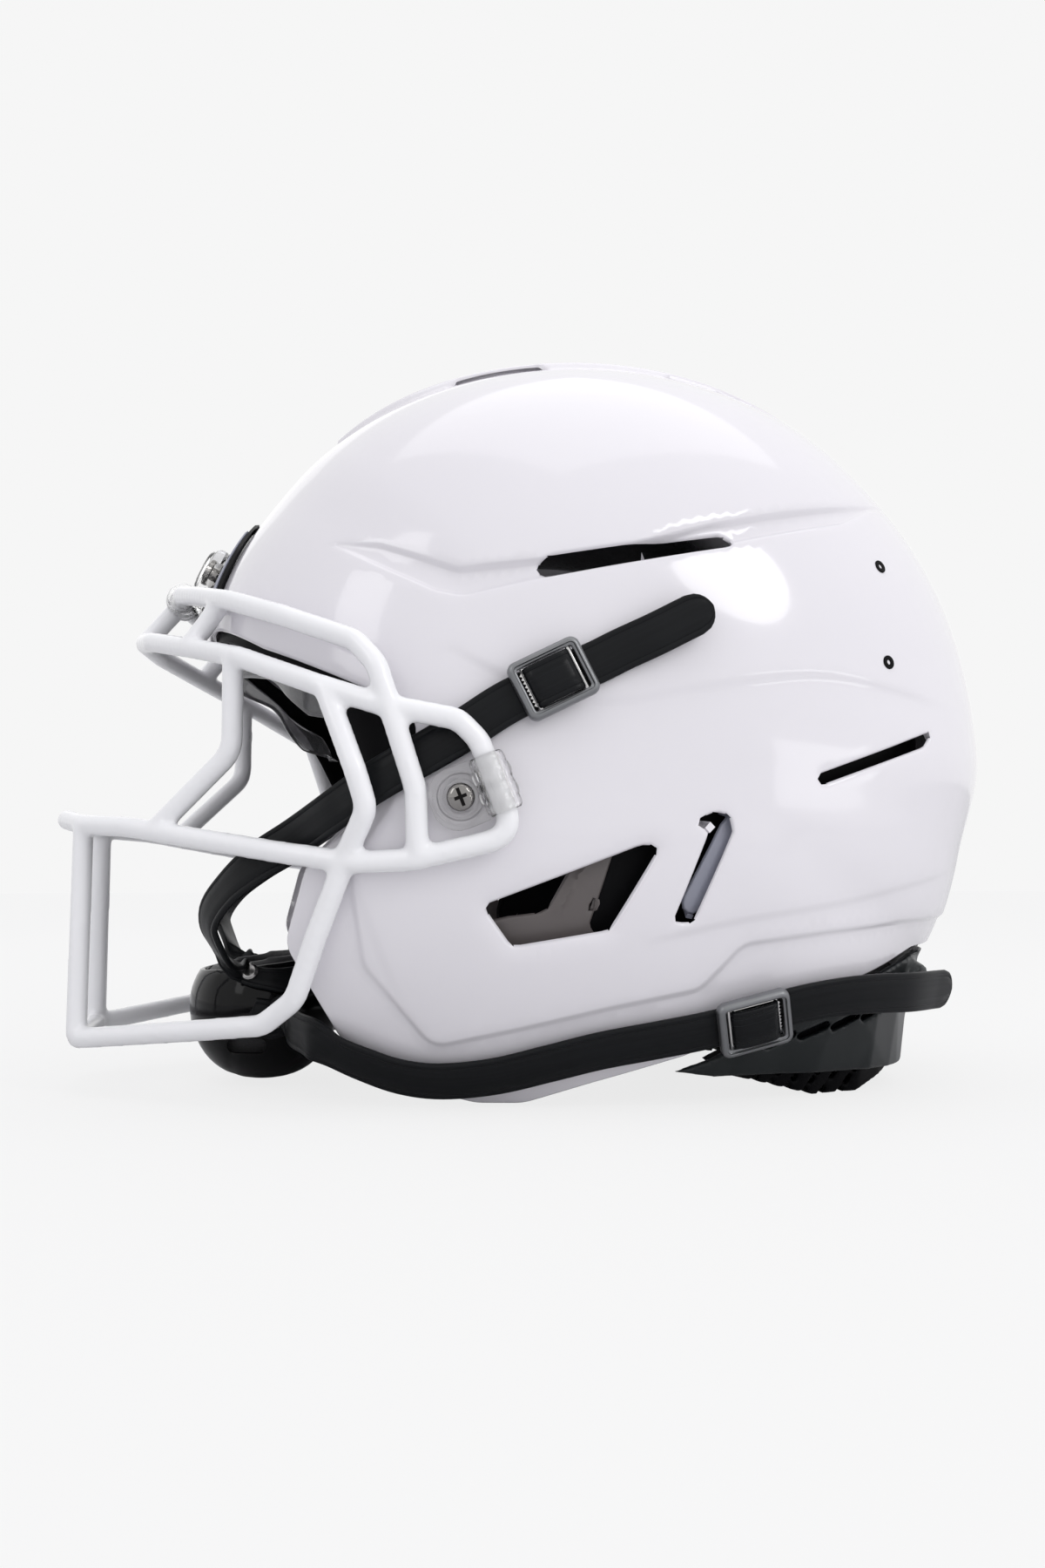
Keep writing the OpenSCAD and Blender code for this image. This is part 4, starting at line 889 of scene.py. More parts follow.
def relief_height(p):
    """Height of the relief at points of the dome."""
    a = np.mod(np.degrees(np.arctan2(p[:, 2] - CENTRE_Z, p[:, 1] - CENTRE_Y)), 360)
    above = step((signed_by_line(p, "upper", upper_line) / WIDTH["upper"] + 1) / 2)
    below = step((-signed_by_line(p, "lower", lower_line) / WIDTH["lower"] + 1) / 2)
    ledge = ease((a - 42) / 20) * (1 - ease((a - 132) / 13))
    channel = step((p[:, 1] + 92) / 26) * (1 - step((p[:, 1] - 100) / 50))
    height = PROUD * ledge * above - SUNK * channel * (1 - above) * (1 - below)
    d = distance(p, relief["rim"])
    d = np.where(inside(p[:, 1:], rim_loop), d, -d)
    height -= RIM_DROP * (1 - step((d / WIDTH["rim"] + 1) / 2))
    for name, line, drop, run in (("mid", mid_line, 1.0, 38.0), ("low", low_line, 0.9, 26.0)):
        d = -signed_by_line(p, name, line)
        ends = step((p[:, 1] - line[0, 0] + 14) / 30) * (1 - step((p[:, 1] - line[-1, 0] + 26) / 26))
        height -= drop * ends * step((d / WIDTH[name] + 1) / 2) * np.exp(-np.maximum(0, d) / run)
    d = distance(p, relief["jaw"])
    d = np.where(p[:, 1] < np.interp(p[:, 2], jaw_line[:, 1], jaw_line[:, 0]), d, -d)
    ends = step((p[:, 2] - 30) / 22) * (1 - step((p[:, 2] - 72) / 24))
    height -= 0.8 * ends * step((d / WIDTH["jaw"] + 1) / 2) * np.exp(-np.maximum(0, d) / 14)
    d = distance(p, relief["band"])
    loop = np.vstack([band_loop, [[170, -1], [-78, -1]]])
    on_band = inside(p[:, [1, 0]], loop) & (p[:, 2] > CENTRE_Z + 40)
    s = step((np.where(on_band, d, -d) / WIDTH["band"] + 1) / 2)
    top = BAND_RISE * ease((a - 22) / 22)
    height += np.maximum(0, top - height) * np.where(p[:, 2] > CENTRE_Z + 40, s, 0)
    return height


def curl(d, radius=1.35):
    """How far a rounded edge has dropped at a distance from it."""
    d = np.clip(d, 0, radius)
    return radius - np.sqrt(np.maximum(0, radius ** 2 - (radius - d) ** 2))


print("a rounded edge drops, in mm:", np.round(curl(np.array([0.0, 0.35, 0.85, 1.35])), 2))

# %% [markdown]
# The real shell leaves its mould as one skin about three millimetres thick. So the sheet is
# filled, raised by the relief, mirrored, and given its wall by a solidify on the inner side,
# which leaves the outer face exactly where it was drawn. The ear opening also dishes in a
# little all round, as on the real one.

# %% Shell
def keep_shell(yz, x):
    """True for the parts of the sheet that are plastic."""
    ok = between(yz, shell_outline, side_openings)
    for hole in crown_openings:
        ok &= ~(inside(np.stack([yz[:, 0], x], 1), hole) & (yz[:, 1] > CENTRE_Z + 60))
    return ok


xyz, faces = fill_sheet(lines, keep_shell, SHELL_GAP)
height = relief_height(xyz)
to_ear = distance(xyz, hole_rims[0], True)
height -= 1.1 * np.clip(1 - to_ear / 5.5, 0, 1) ** 1.6
height -= curl(nearest(xyz, borders))
shell_points = xyz + height[:, None] * normals(xyz)
shell_points[xyz[:, 0] == 0, 0] = 0.0
bm = both_halves(sheet_mesh(shell_points, faces))
shell = piece("helmet_shell", bm, SHELL, tidy=False, stands_for=("shell",))
print("shell faces:", thicken(shell, WALL - 0.4, 48))

# %% [markdown]
# The face mask is steel wire, bent, welded and then dipped in a soft white coat, which
# rounds over each weld. Curves with a round bevel are the wires. Joined and turned into one
# skin by a voxel remesh, they blend at the welds as the coat does, and a light smoothing
# takes the grid's marks away.

# %% Wires of the mask
MASK_W, WIRE_R, BEND = 125.5, 3.9, 12.0
side_bar_top, side_bar_bottom = (0.985, -36, 128), (0.995, -23.5, 96)
brow_half = [(0, -157, 177), (0.16, -152, 174.5), (0.4, -135, 168), (0.62, -117, 161), (0.86, -89, 147.5),
             (0.94, -68, 140), (0.985, -43, 135)]
main_half = [(0, -185.1, 105), (0.07, -184.8, 104.5), (0.23, -176, 102), (0.4, -157, 100.5),
             (0.56, -135, 96.5), (0.77, -101, 90.5), (0.89, -77, 87), (0.945, -57, 88)]
top_half = [(0, -141.5, 194.5), (0.12, -141.5, 194.5), (0.27, -134, 190.8), (0.5, -121, 184.2),
            (0.72, -102, 174.4), (0.88, -77, 163), (0.935, -70, 154), (0.955, -64, 134), (0.96, -57, 112),
            (0.95, -56, 90)]
chin_half = [(0, -177, 21), (0.24, -177, 21), (0.54, -132, 27), (0.7, -107, 30.5), (0.77, -96, 40),
             (0.82, -89, 62), (0.875, -80, 87)]


def masked(points, side=1):
    """Wire points in mm, their x given as a share of the mask's half width."""
    return [(side * x * MASK_W, y, z) for x, y, z in points]


def whole(half):
    """Both halves of a wire that crosses the mirror plane."""
    return masked(half[:0:-1], -1) + masked(half)


def bend(points, radius, closed=False, steps=8):
    """Wire route with its corners bent to a radius."""
    return round_corners(points, radius, steps, closed)


loop_half = brow_half + [side_bar_top, side_bar_bottom] + main_half[::-1]
wires = [(bend(masked(loop_half) + masked(loop_half[-2:0:-1], -1), 9, True), True),
         (bend(whole(top_half), BEND), False), (bend(whole(chin_half), BEND), False),
         (np.array([(0, -156, 177.5), (0, -149, 186), (0, -142, 194)], float), False)]
brace = [(0.38, -136.5, 168.5), (0.4, -130, 177), (0.42, -123.5, 186.5)]
eye_post = [(0.6, -119, 162), (0.59, -119, 127), (0.47, -147, 99)]
side_post = [(0.87, -87, 146.5), (0.94, -77, 118), (0.94, -73, 105), (0.87, -80, 88)]
front_post = [(0.23, -176, 102.5), (0.235, -176.5, 62), (0.24, -177, 21.5)]
for side in (1, -1):
    wires.append((np.array(masked(brace, side)), False))
    for post, radius in ((eye_post, BEND), (side_post, 9), (front_post, BEND)):
        wires.append((bend(masked(post, side), radius), False))
print("wires:", len(wires))

# %% [markdown]
# The coat is why the mask isn't left as separate tubes: where two wires cross, the real one
# shows a soft web and no seam. The wires get a slightly greater radius than the steel, for
# the coat, and the remesh is fine enough that a bend still reads as round.

# %% Mask as one coated piece
COAT_THICK = 0.12


def tube(route, radius, closed=False, sides=5):
    """Mesh of a round wire along a route, in metres."""
    curve = bpy.data.curves.new("wire", "CURVE")
    curve.dimensions = "3D"
    curve.bevel_depth = radius * MM
    curve.bevel_resolution = sides
    curve.use_fill_caps = True
    spline = curve.splines.new("POLY")
    spline.points.add(len(route) - 1)
    for point, p in zip(spline.points, route):
        point.co = (p[0] * MM, p[1] * MM, p[2] * MM, 1)
    spline.use_cyclic_u = closed
    holder = bpy.data.objects.new("wire", curve)
    mesh = bpy.data.meshes.new_from_object(holder)
    bpy.data.objects.remove(holder)
    bpy.data.curves.remove(curve)
    return mesh


def gather(meshes):
    """One bmesh of several meshes, which are then removed."""
    bm = bmesh.new()
    for mesh in meshes:
        bm.from_mesh(mesh)
        bpy.data.meshes.remove(mesh)
    return bm


def remeshed(obj, voxel, rounds, factor=0.5):
    """Voxel skin of a piece, smoothed."""
    skin_mod = obj.modifiers.new("skin", "REMESH")
    skin_mod.mode = "VOXEL"
    skin_mod.voxel_size = voxel * MM
    calm = obj.modifiers.new("calm", "SMOOTH")
    calm.factor = factor
    calm.iterations = rounds
    return settle(obj, 180)


bm = gather([tube(route, WIRE_R + COAT_THICK, closed) for route, closed in wires])
bmesh.ops.scale(bm, vec=(1 / MM,) * 3, verts=bm.verts)
mask_nodes = [n for n in frame["nodes"] if n.startswith("mask_")]
mask = piece("face_mask", bm, COAT, sharp=180, tidy=False, stands_for=mask_nodes)
print("mask faces:", remeshed(mask, 1.15, 7))

# %% [markdown]
# The chin strap is smooth coated webbing: satin black with fine lines along it and a thin
# line pressed in near each edge. It is laid as a real strap lies, on a route with the way
# its face looks at each place, and its section has rounded edges. The UV map runs along
# the strap, so the streaks follow each bend.

# %% Webbing material
def webbing_finish(name, gloss, bump):
    """Black webbing whose fine lines run along its own UV map."""
    mat = bpy.data.materials.new(name)
    mat.use_nodes = True
    n, l = mat.node_tree.nodes, mat.node_tree.links
    bsdf = n["Principled BSDF"]
    uv, turn = n.new("ShaderNodeUVMap"), n.new("ShaderNodeMapping")
    turn.inputs["Scale"].default_value = (18.0, 60.0, 1.0)
    streak = n.new("ShaderNodeTexNoise")
    streak.inputs["Scale"].default_value = 1.0
    streak.inputs["Detail"].default_value = 4.0
    l.new(uv.outputs["UV"], turn.inputs["Vector"])
    l.new(turn.outputs["Vector"], streak.inputs["Vector"])
    tone, rough = n.new("ShaderNodeMix"), n.new("ShaderNodeMapRange")
    tone.data_type = "RGBA"
    tone.inputs["A"].default_value = (0.0035, 0.0039, 0.0046, 1)
    tone.inputs["B"].default_value = (0.0095, 0.0104, 0.0122, 1)
    bsdf.inputs["Specular IOR Level"].default_value = 0.15
    l.new(streak.outputs["Fac"], tone.inputs["Factor"])
    l.new(tone.outputs["Result"], bsdf.inputs["Base Color"])
    rough.inputs["To Min"].default_value = gloss - 0.08
    rough.inputs["To Max"].default_value = gloss + 0.14
    l.new(streak.outputs["Fac"], rough.inputs["Value"])
    l.new(rough.outputs["Result"], bsdf.inputs["Roughness"])
    hit = n.new("ShaderNodeBump")
    hit.inputs["Strength"].default_value = bump
    hit.inputs["Distance"].default_value = 0.06 * MM
    l.new(streak.outputs["Fac"], hit.inputs["Height"])
    l.new(hit.outputs["Normal"], bsdf.inputs["Normal"])
    return mat


WEBBING = webbing_finish("coated_webbing", 0.36, 0.3)
FOLD = webbing_finish("coated_webbing_fold", 0.22, 0.1)
print("webbing ready")

# %% [markdown]
# A strap could be a flat plane with a curve modifier, but it would have no edge and would
# twist where it shouldn't. Here its section is carried along the route, turned at each place
# to face the way that the route says, as a hand would lay it.

# %% Lay a strap on a route
GROOVE = 0.16


def grid(columns, rows):
    """bmesh grid with a UV map, and each vertex with its column and row share."""
    bm = bmesh.new()
    bm.loops.layers.uv.new("UVMap")
    bmesh.ops.create_grid(bm, x_segments=columns, y_segments=rows, size=1.0, calc_uvs=True)
    return bm, [(v, (v.co.x + 1) / 2, (v.co.y + 1) / 2) for v in bm.verts]


def closed_up(bm):
    """Swept mesh with its seam merged and its ends filled."""
    bmesh.ops.remove_doubles(bm, verts=bm.verts, dist=0.01)
    bmesh.ops.holes_fill(bm, edges=[e for e in bm.edges if e.is_boundary], sides=0)
    return bm


def strap_section(width, thick):
    """Closed section of webbing: round edges and a faint groove beside each edge."""
    w, r = width / 2, min(thick * 0.42, width / 2)
    pts = []
    flat = w - r
    for cx, cy, a0 in ((flat, thick - r, 0), (-flat, thick - r, 90), (-flat, r, 180), (flat, r, 270)):
        for k in range(4):
            a = math.radians(a0 + 30 * k)
            pts.append((cx + r * math.cos(a), cy + r * math.sin(a)))
        if a0 == 0:
            for f, dip in ((0.86, 0), (0.83, GROOVE), (0.80, 0), (0.3, 0),
                           (-0.3, 0), (-0.80, 0), (-0.83, GROOVE), (-0.86, 0)):
                pts.append((flat * f, thick - dip * min(1, width / 12)))
    return pts


def strap_mesh(centres, outs, widths, thick, side=1):
    """Closed webbing along a route. Its inner face lies on the route."""
    centres, outs = np.array(centres, float), np.array(outs, float)
    length = run_length(centres)[-1]
    along = np.gradient(centres, axis=0)
    along /= np.linalg.norm(along, axis=1, keepdims=True)
    across = np.cross(outs, along)
    across /= np.linalg.norm(across, axis=1, keepdims=True)
    face = np.cross(along, across)
    n = len(centres)
    m = len(strap_section(10.0, thick))
    bm, spots = grid(n - 1, m)
    for v, u, w in spots:
        i, j = int(round(u * (n - 1))), int(round(w * m)) % m
        s = strap_section(widths[i], thick)[j]
        p = centres[i] + across[i] * s[0] + face[i] * s[1]
        v.co = (side * p[0], p[1], p[2])
    layer = bm.loops.layers.uv.active
    for f in bm.faces:
        for loop in f.loops:
            u, w = loop[layer].uv
            loop[layer].uv = (u * length * MM, w)
    return closed_up(bm)


def smooth_route(points, steps=6):
    """Even curve through 3D points with their outward ways."""
    out = smooth_line([np.concatenate([p, o]) for p, o in points], steps)
    out[:, 3:] /= np.linalg.norm(out[:, 3:], axis=1, keepdims=True)
    return out[:, :3], out[:, 3:]


print("points in a strap's section:", len(strap_section(15.0, 2.4)))

# %% [markdown]
# The chin cup is a deep bowl of gloss plastic with a soft liner. Its form is worked out
# before the straps, because they end on its sides.

# %% Form of the chin cup
CUP_A, CUP_B, CUP_Y = 36.0, 30.0, -107.0
CUP_C = 47 / (1 + math.sin(math.radians(34)))
CUP_Z = 1.2 + CUP_C


def bowl_point(a, b, c, t, s):
    """Place on a bowl: t is the height angle and s the turn, in degrees."""
    k = max(0.0, math.cos(math.radians(t))) ** 0.8
    y = b * k * math.sin(math.radians(s))
    return (a * k * math.cos(math.radians(s)), CUP_Y + y,
            CUP_Z + c * math.sin(math.radians(t)) + max(0, t) / 34 * 0.12 * y)


def cup_side(y, z):
    """Place on the cup's left side, from its side view."""
    k = max(1e-6, 1 - abs((z - CUP_Z) / CUP_C) ** 2) ** 0.4
    s = (y - CUP_Y) / (CUP_B * k)
    return np.array([CUP_A * k * math.sqrt(max(0, 1 - s * s)), y, z])


def bowl(columns, section, inset=0.0):
    """Closed bowl from its section, as [height angle, inward], swept round the cup's middle."""
    rows = len(section) - 1
    bm, spots = grid(columns, rows)
    for v, u, w in spots:
        t, inward = section[int(round(w * rows))]
        s = 360 * (int(round(u * columns)) % columns) / columns
        v.co = bowl_point(CUP_A - inset - inward, CUP_B - inset - inward, CUP_C - inset - inward, t, s)
    return closed_up(bm)


def cup_out(y, z, d=0.5):
    """Outward way of the cup's side, from how it changes over d millimetres."""
    n = np.array([2 * d, cup_side(y - d, z)[0] - cup_side(y + d, z)[0],
                  cup_side(y, z - d)[0] - cup_side(y, z + d)[0]])
    return n / np.linalg.norm(n)


print("cup centre height:", round(CUP_Z, 2))

# %% [markdown]
# Each strap starts at its free tip, lies on the snap, runs on over the shell, leaves it for
# the chin cup and ends on the cup's side. The first places are given by the side view and a
# lift off the dome, the free ones by their own point and outward way. Where the upper strap
# turns on the cup it draws together, as webbing does when it is pulled round a corner. One
# strap is one mesh, and it bends at the snap's hinge, so a lifted end doesn't tear it.

# %% Routes of the straps
STRAP_W, STRAP_T, STRAP_LIFT, TIP = 15.0, 2.4, 1.6, 13.0
TURN_REACH = 17.0
upper_tab = [(34, 169.5, 5.2), (25, 165, 4.2), (14, 160, 2.4), (4, 155, 1.6), (-10, 149, 1.6),
             (-25.6, 141.2, 1.6)]
lower_tab = [(138, 41, 9.6), (125, 41, 7.2), (110, 41, 3.6), (96, 40, 2), (80, 37.5, 1.6), (64, 33, 1.6),
             (47.4, 29.1, 1.6)]
upper_line_on = [(-38, 133), (-50, 125.5), (-61, 119), (-72, 112), (-83, 104)]
lower_line_on = [(30, 26), (10, 22.5), (-8, 18), (-26, 13.5), (-44, 11.5), (-58, 13), (-71, 17.5),
                 (-81, 22)]
upper_free = [((0.7, -96, 95.5), (0.86, -0.5, 0.05)), ((0.64, -109, 87), (0.65, -0.76, 0)),
              ((0.565, -119.5, 77.5), (0.5, -0.86, 0.1)), ((0.485, -126, 67), (0.4, -0.9, -0.1)),
              ((0.425, -123.5, 57), (0.45, -0.84, -0.3))]
lower_free = [((0.635, -88, 24.5), (0.8, -0.6, -0.1)), ((0.565, -92, 26), (0.6, -0.78, -0.15)),
              ((0.462, -96, 27.5), (0.65, -0.72, -0.15))]
print("places of the upper and the lower strap:", len(upper_tab) + len(upper_line_on) + len(upper_free),
      len(lower_tab) + len(lower_line_on) + len(lower_free))

# %% [markdown]
# One function turns such places into a route with widths: it rounds the free tip, brings the
# strap down onto the cup and narrows it there. The other makes the mesh and shares it between
# two bodies, the helmet and the loose end. The change from one to the other runs over 5 mm on
# each side of the hinge, because webbing bends in a curve and not in a sharp fold.

# %% Lay each strap from its tip to the cup
def strap_route(tab, line, free, end, round_cup, narrow):
    """Centres, outward ways and widths of a strap. narrow is the share of its width that it
    loses where it comes to the cup."""
    first = on_side(tab[0][0], tab[0][1], tab[0][2])
    second = on_side(tab[1][0], tab[1][1], tab[1][2])
    d = (first - second) / np.linalg.norm(first - second)
    n = normals(on_side(tab[0][0], tab[0][1]))
    stops = [(on_side(y, z, lift), normals(on_side(y, z))) for y, z, lift in tab]
    stops += [(on_side(y, z, STRAP_LIFT), normals(on_side(y, z))) for y, z in line]
    stops += [(np.array([x * MASK_W, y, z]), np.array(o, float) / np.linalg.norm(o))
              for (x, y, z), o in free]
    out_way = cup_out(*end)
    seat = cup_side(*end) + out_way * 0.5
    v = seat - stops[-1][0]
    way = v - (v @ out_way) * out_way
    way /= np.linalg.norm(way)
    stops += [(seat - way * 7 + out_way * 1.5, out_way), (seat, out_way)]
    stops += [(cup_side(y, z) + cup_out(y, z) * 0.5, cup_out(y, z)) for y, z in round_cup]
    centres, outs = smooth_route(stops)
    tips, widths = [], []
    for a in (4, 12, 22, 34, 48, 64, 90):
        tips.append(first + d * (TIP - STRAP_W / 2 * (1 - math.cos(math.radians(a)))))
        widths.append(STRAP_W * math.sin(math.radians(a)))
    centres = np.vstack([np.array(tips), first + d * 2.5, centres])
    outs = np.vstack([np.tile(n, (8, 1)), outs])
    widths += [STRAP_W] * (len(centres) - 7)
    for k, a in enumerate((38, 20, 8)):
        widths[-3 + k] = STRAP_W * max(0.35, math.sin(math.radians(a)))
    near = np.exp(-(np.linalg.norm(centres - seat, axis=1) / TURN_REACH) ** 2)
    return centres, outs, list(np.array(widths) * (1 - narrow * near))


def lay_strap(level_name, side, hinge, toward, tab, line, free, end, round_cup, narrow=0.0):
    """One strap from tip to cup, bending at its tab's hinge."""
    word = "left" if side > 0 else "right"
    centres, outs, widths = strap_route(tab, line, free, end, round_cup, narrow)
    bm = strap_mesh(centres, outs, widths, STRAP_T, side)
    bmesh.ops.recalc_face_normals(bm, faces=bm.faces)
    obj = to_object("chin_strap_%s_%s" % (level_name, word), bm, WEBBING, 50)
    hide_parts("%s_strap_%s" % (level_name, word), "%s_tab_%s" % (level_name, word))
    h, t = np.array(hinge) * MM, np.array(toward) * MM
    start, stop = h - t * 5, h + t * 5
    for p in (start, stop):
        p[0] *= side
    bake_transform(obj, "helmet", "%s_%s_tab_body" % (level_name, word), start=tuple(start), end=tuple(stop))
    return obj


UPPER_HINGE = (120.474, -26.533, 141.118), (0.04, 0.895, 0.4446)
LOWER_HINGE = (106.944, 47.231, 27.404), (0.0035, 0.9721, 0.2344)
for side in (1, -1):
    lay_strap("upper", side, *UPPER_HINGE, upper_tab, upper_line_on, upper_free, (-110, 43),
              [(-104, 42), (-98, 41.4), (-92, 41)], 0.45)
    lay_strap("lower", side, *LOWER_HINGE, lower_tab, lower_line_on, lower_free, (-103, 28),
              [(-108, 28.5), (-112, 29)])
print("straps laid: 4")

# %% [markdown]
# Small moulded and turned parts are right in the CAD model, but their edges are knife
# sharp, and a real edge always catches light. A copy of each is merged, its flat faces are
# joined, and the bevel operator rounds the edges. The CAD mesh itself stays as it is.

# %% Round the edges of a copy of a CAD node
def copy_of(node):
    """bmesh of a CAD node in mm, with merged points."""
    source = frame["nodes"][node]
    bm = bmesh.new()
    bm.from_mesh(source.data)
    bm.transform(source.matrix_world)
    bmesh.ops.scale(bm, vec=(1 / MM,) * 3, verts=bm.verts)
    bmesh.ops.remove_doubles(bm, verts=bm.verts, dist=0.004)
    return bm


def body_name(node):
    """Name of the body that a CAD node rides on."""
    bodies = body_of(frame["nodes"][node])
    return bodies if isinstance(bodies, str) else list(bodies)[0]


def rounded_copy(node, material, width, segments=2, angle=28, sharp=32):
    """Copy of a CAD node with every edge over the angle rounded by the width."""
    bm = copy_of(node)
    bmesh.ops.dissolve_limit(bm, angle_limit=math.radians(1.5), verts=bm.verts, edges=bm.edges)
    edges = [e for e in bm.edges if e.is_manifold and e.calc_face_angle(0) > math.radians(angle)]
    bmesh.ops.bevel(bm, geom=edges, offset=width, offset_type="OFFSET", segments=segments, profile=0.5,
                    affect="EDGES", clamp_overlap=True, material=-1)
    return piece("fine_" + node, bm, material, body_name(node), sharp, tidy=False, stands_for=(node,))


ENDS = [(level_name, word) for level_name in ("upper", "lower") for word in ("left", "right")]
small = [("clip_nuts", STEEL, "screw_steel", 0.2), ("snap_studs", STEEL, "snap_metal", 0.15),
         ("cup_rivets", STEEL, "snap_metal", 0.15), ("air_ports", RUBBER, "rubber", 0.2)]
small += [("%s_socket_%s" % end, STEEL, "snap_metal", 0.2) for end in ENDS]
small += [("%s_bail_%s" % end, WIRE, "bail_wire", 0.12) for end in ENDS]
for node, material, slot, width in small:
    rounded_copy(node, material, width)

# %% [markdown]
# Screws and the rings of the clips are turned parts, so half of the section is drawn and spun
# once round its axis. Each is made upright at the middle of its own small frame, and then put
# in its place on the helmet: on the side seats, which mirror each other, or on the brow. The
# other tool needed here is a boolean, which cuts one solid out of another or joins two.

# %% Turned parts and places
def turned(profile, steps=48):
    """Solid of revolution about Z from half its section, as [radius, height]."""
    bm = bmesh.new()
    row = [bm.verts.new((r, 0, h)) for r, h in profile]
    edges = [bm.edges.new(pair) for pair in zip(row[:-1], row[1:])]
    bmesh.ops.spin(bm, geom=row + edges, cent=(0, 0, 0), axis=(0, 0, 1), angle=2 * math.pi, steps=steps,
                   use_merge=True)
    bmesh.ops.remove_doubles(bm, verts=bm.verts, dist=0.001)
    bmesh.ops.recalc_face_normals(bm, faces=bm.faces)
    return bm


def put(bm, seat, axes, side=1):
    """Move a part from its own axes to its place on the helmet."""
    x, y, z = axes
    bm.transform(Matrix(((x[0], y[0], z[0], seat[0]), (x[1], y[1], z[1], seat[1]),
                         (x[2], y[2], z[2], seat[2]), (0, 0, 0, 1))))
    if side < 0:
        bmesh.ops.scale(bm, vec=(-1, 1, 1), verts=bm.verts)
        bmesh.ops.reverse_faces(bm, faces=bm.faces)
    return bm


def cut_away(obj, tool, sharp, operation="DIFFERENCE"):
    """Boolean cut or union with a bmesh given in mm."""
    cutter = to_object("cutter", tool, None, sharp)
    cut = obj.modifiers.new("cut", "BOOLEAN")
    cut.object = cutter
    cut.solver = "EXACT"
    cut.operation = operation
    faces = settle(obj, sharp)
    bpy.data.objects.remove(cutter)
    return faces


SIDE_SEAT = (115.646, -41, 109)
SIDE_AXES = ((-0.0365, -0.3636, 0.9308), (-0.1339, -0.9212, -0.3651), (0.9903, -0.1380, -0.0151))
FRONT_SEAT = (0, -124.144, 202.986)
FRONT_AXES = ((1, 0, 0), (0, 0.4420, 0.8970), (0, -0.8970, 0.4420))
print("clip seats:", SIDE_SEAT, FRONT_SEAT)

# %% [markdown]
# A truss head screw is a low dome with a cross slot. The slot is cut by two boxes, one after
# the other. Polished metal would mirror the bright studio even down in the slot, where the
# real one lies in shade, so the slot's faces carry an attribute that the chrome reads to turn
# near black there: painted shade.

# %% Screws
SCREW = [(0, -17), (2.0, -17), (2.5, -16), (2.5, 0.15), (4.5, 0.15), (4.8, 0.4), (4.78, 0.95),
         (4.55, 1.5), (4.0, 2.05), (3.1, 2.5), (1.8, 2.74), (0, 2.8)]
SLOT_LONG, SLOT_SHORT, SLOT_WIDE = 6.4, 4.4, 1.2
SLOT_MIDDLE, SLOT_HEIGHT = 2.35, 2.5
# Heights over the head's underside between which the slot's faces are marked for painted shade
SLOT_FROM, SLOT_TO = 1.0, 2.55


def box(size, centre):
    """Solid box in mm."""
    bm = bmesh.new()
    bmesh.ops.create_cube(bm, size=1.0)
    bmesh.ops.scale(bm, vec=size, verts=bm.verts)
    bmesh.ops.translate(bm, vec=centre, verts=bm.verts)
    return bm


def screw(name, body, base, seat, axes, side=1):
    """Screw with its head's underside at the base height, its slot's faces marked for painted shade."""
    bm = turned([(r, h + base) for r, h in SCREW])
    obj = piece("turned_" + name, put(bm, seat, axes, side), CHROME, body, 35,
                stands_for=(name,))
    for size in ((SLOT_LONG, SLOT_WIDE, SLOT_HEIGHT), (SLOT_WIDE, SLOT_SHORT, SLOT_HEIGHT)):
        arm = box(size, (0, 0, base + SLOT_MIDDLE))
        faces = cut_away(obj, put(arm, seat, axes, side), 35)
    shade = obj.data.attributes.new("slot", "FLOAT", "FACE")
    for p in obj.data.polygons:
        away = np.array(p.center) / MM - np.array(seat) * (side, 1, 1)
        x, y, z = (abs(away @ (np.array(axis) * (side, 1, 1))) for axis in axes)
        near_x, near_y = x < SLOT_WIDE / 2 + 0.03, y < SLOT_WIDE / 2 + 0.03
        on_cross = (x < SLOT_LONG / 2 + 0.1 and near_y) or (y < SLOT_SHORT / 2 + 0.1 and near_x)
        shade.data[p.index].value = float(on_cross and base + SLOT_FROM < z < base + SLOT_TO)
    return faces


# Painted shade: the chrome turns near black on the faces that carry the slot attribute, in place of the
# shade down in the slot.
SLOT_PAINTED_SHADE = (0.012, 0.011, 0.011, 1)
chrome_nodes, chrome_links = CHROME.node_tree.nodes, CHROME.node_tree.links
marked, dark = chrome_nodes.new("ShaderNodeAttribute"), chrome_nodes.new("ShaderNodeMix")
marked.attribute_name = "slot"
dark.data_type = "RGBA"
dark.inputs["B"].default_value = SLOT_PAINTED_SHADE
base_colour = chrome_nodes["Principled BSDF"].inputs["Base Color"]
chrome_links.new(base_colour.links[0].from_socket, dark.inputs["A"])
chrome_links.new(marked.outputs["Fac"], dark.inputs["Factor"])
chrome_links.new(dark.outputs["Result"], base_colour)
print("screw faces:", screw("front_screw", "front_screw_body", 6.9, FRONT_SEAT, FRONT_AXES),
      screw("side_screw_left", "side_screw_left_body", 5.6, SIDE_SEAT, SIDE_AXES),
      screw("side_screw_right", "side_screw_right_body", 5.6, SIDE_SEAT, SIDE_AXES, -1))

# %% [markdown]
# The clear clips hold the wires down. Each is moulded in one: a plate with a raised ring for
# the screw, and a ribbed wrap round the wire. A pile of separate clear parts would show every
# face between them, so they are joined by booleans to one solid. The wire's passage is then
# cut through the whole, a little wider than the coated wire.

# %% Parts of the clear clips
SIDE_WIRE, FRONT_WIRE, BORE_R = (12.61, 6.92), (15.28, 11.82), 4.2


def rounded_rectangle(half_l, half_w, r, steps=6):
    """Outline of a rectangle with round corners, as [x, y]."""
    l, w = half_l - r, half_w - r
    pts = []
    for cx, cy, a0 in ((l, w, 0), (-l, w, 90), (-l, -w, 180), (l, -w, 270)):
        for k in range(steps + 1):
            a = math.radians(a0 + 90 * k / steps)
            pts.append((cx + r * math.cos(a), cy + r * math.sin(a)))
    return pts


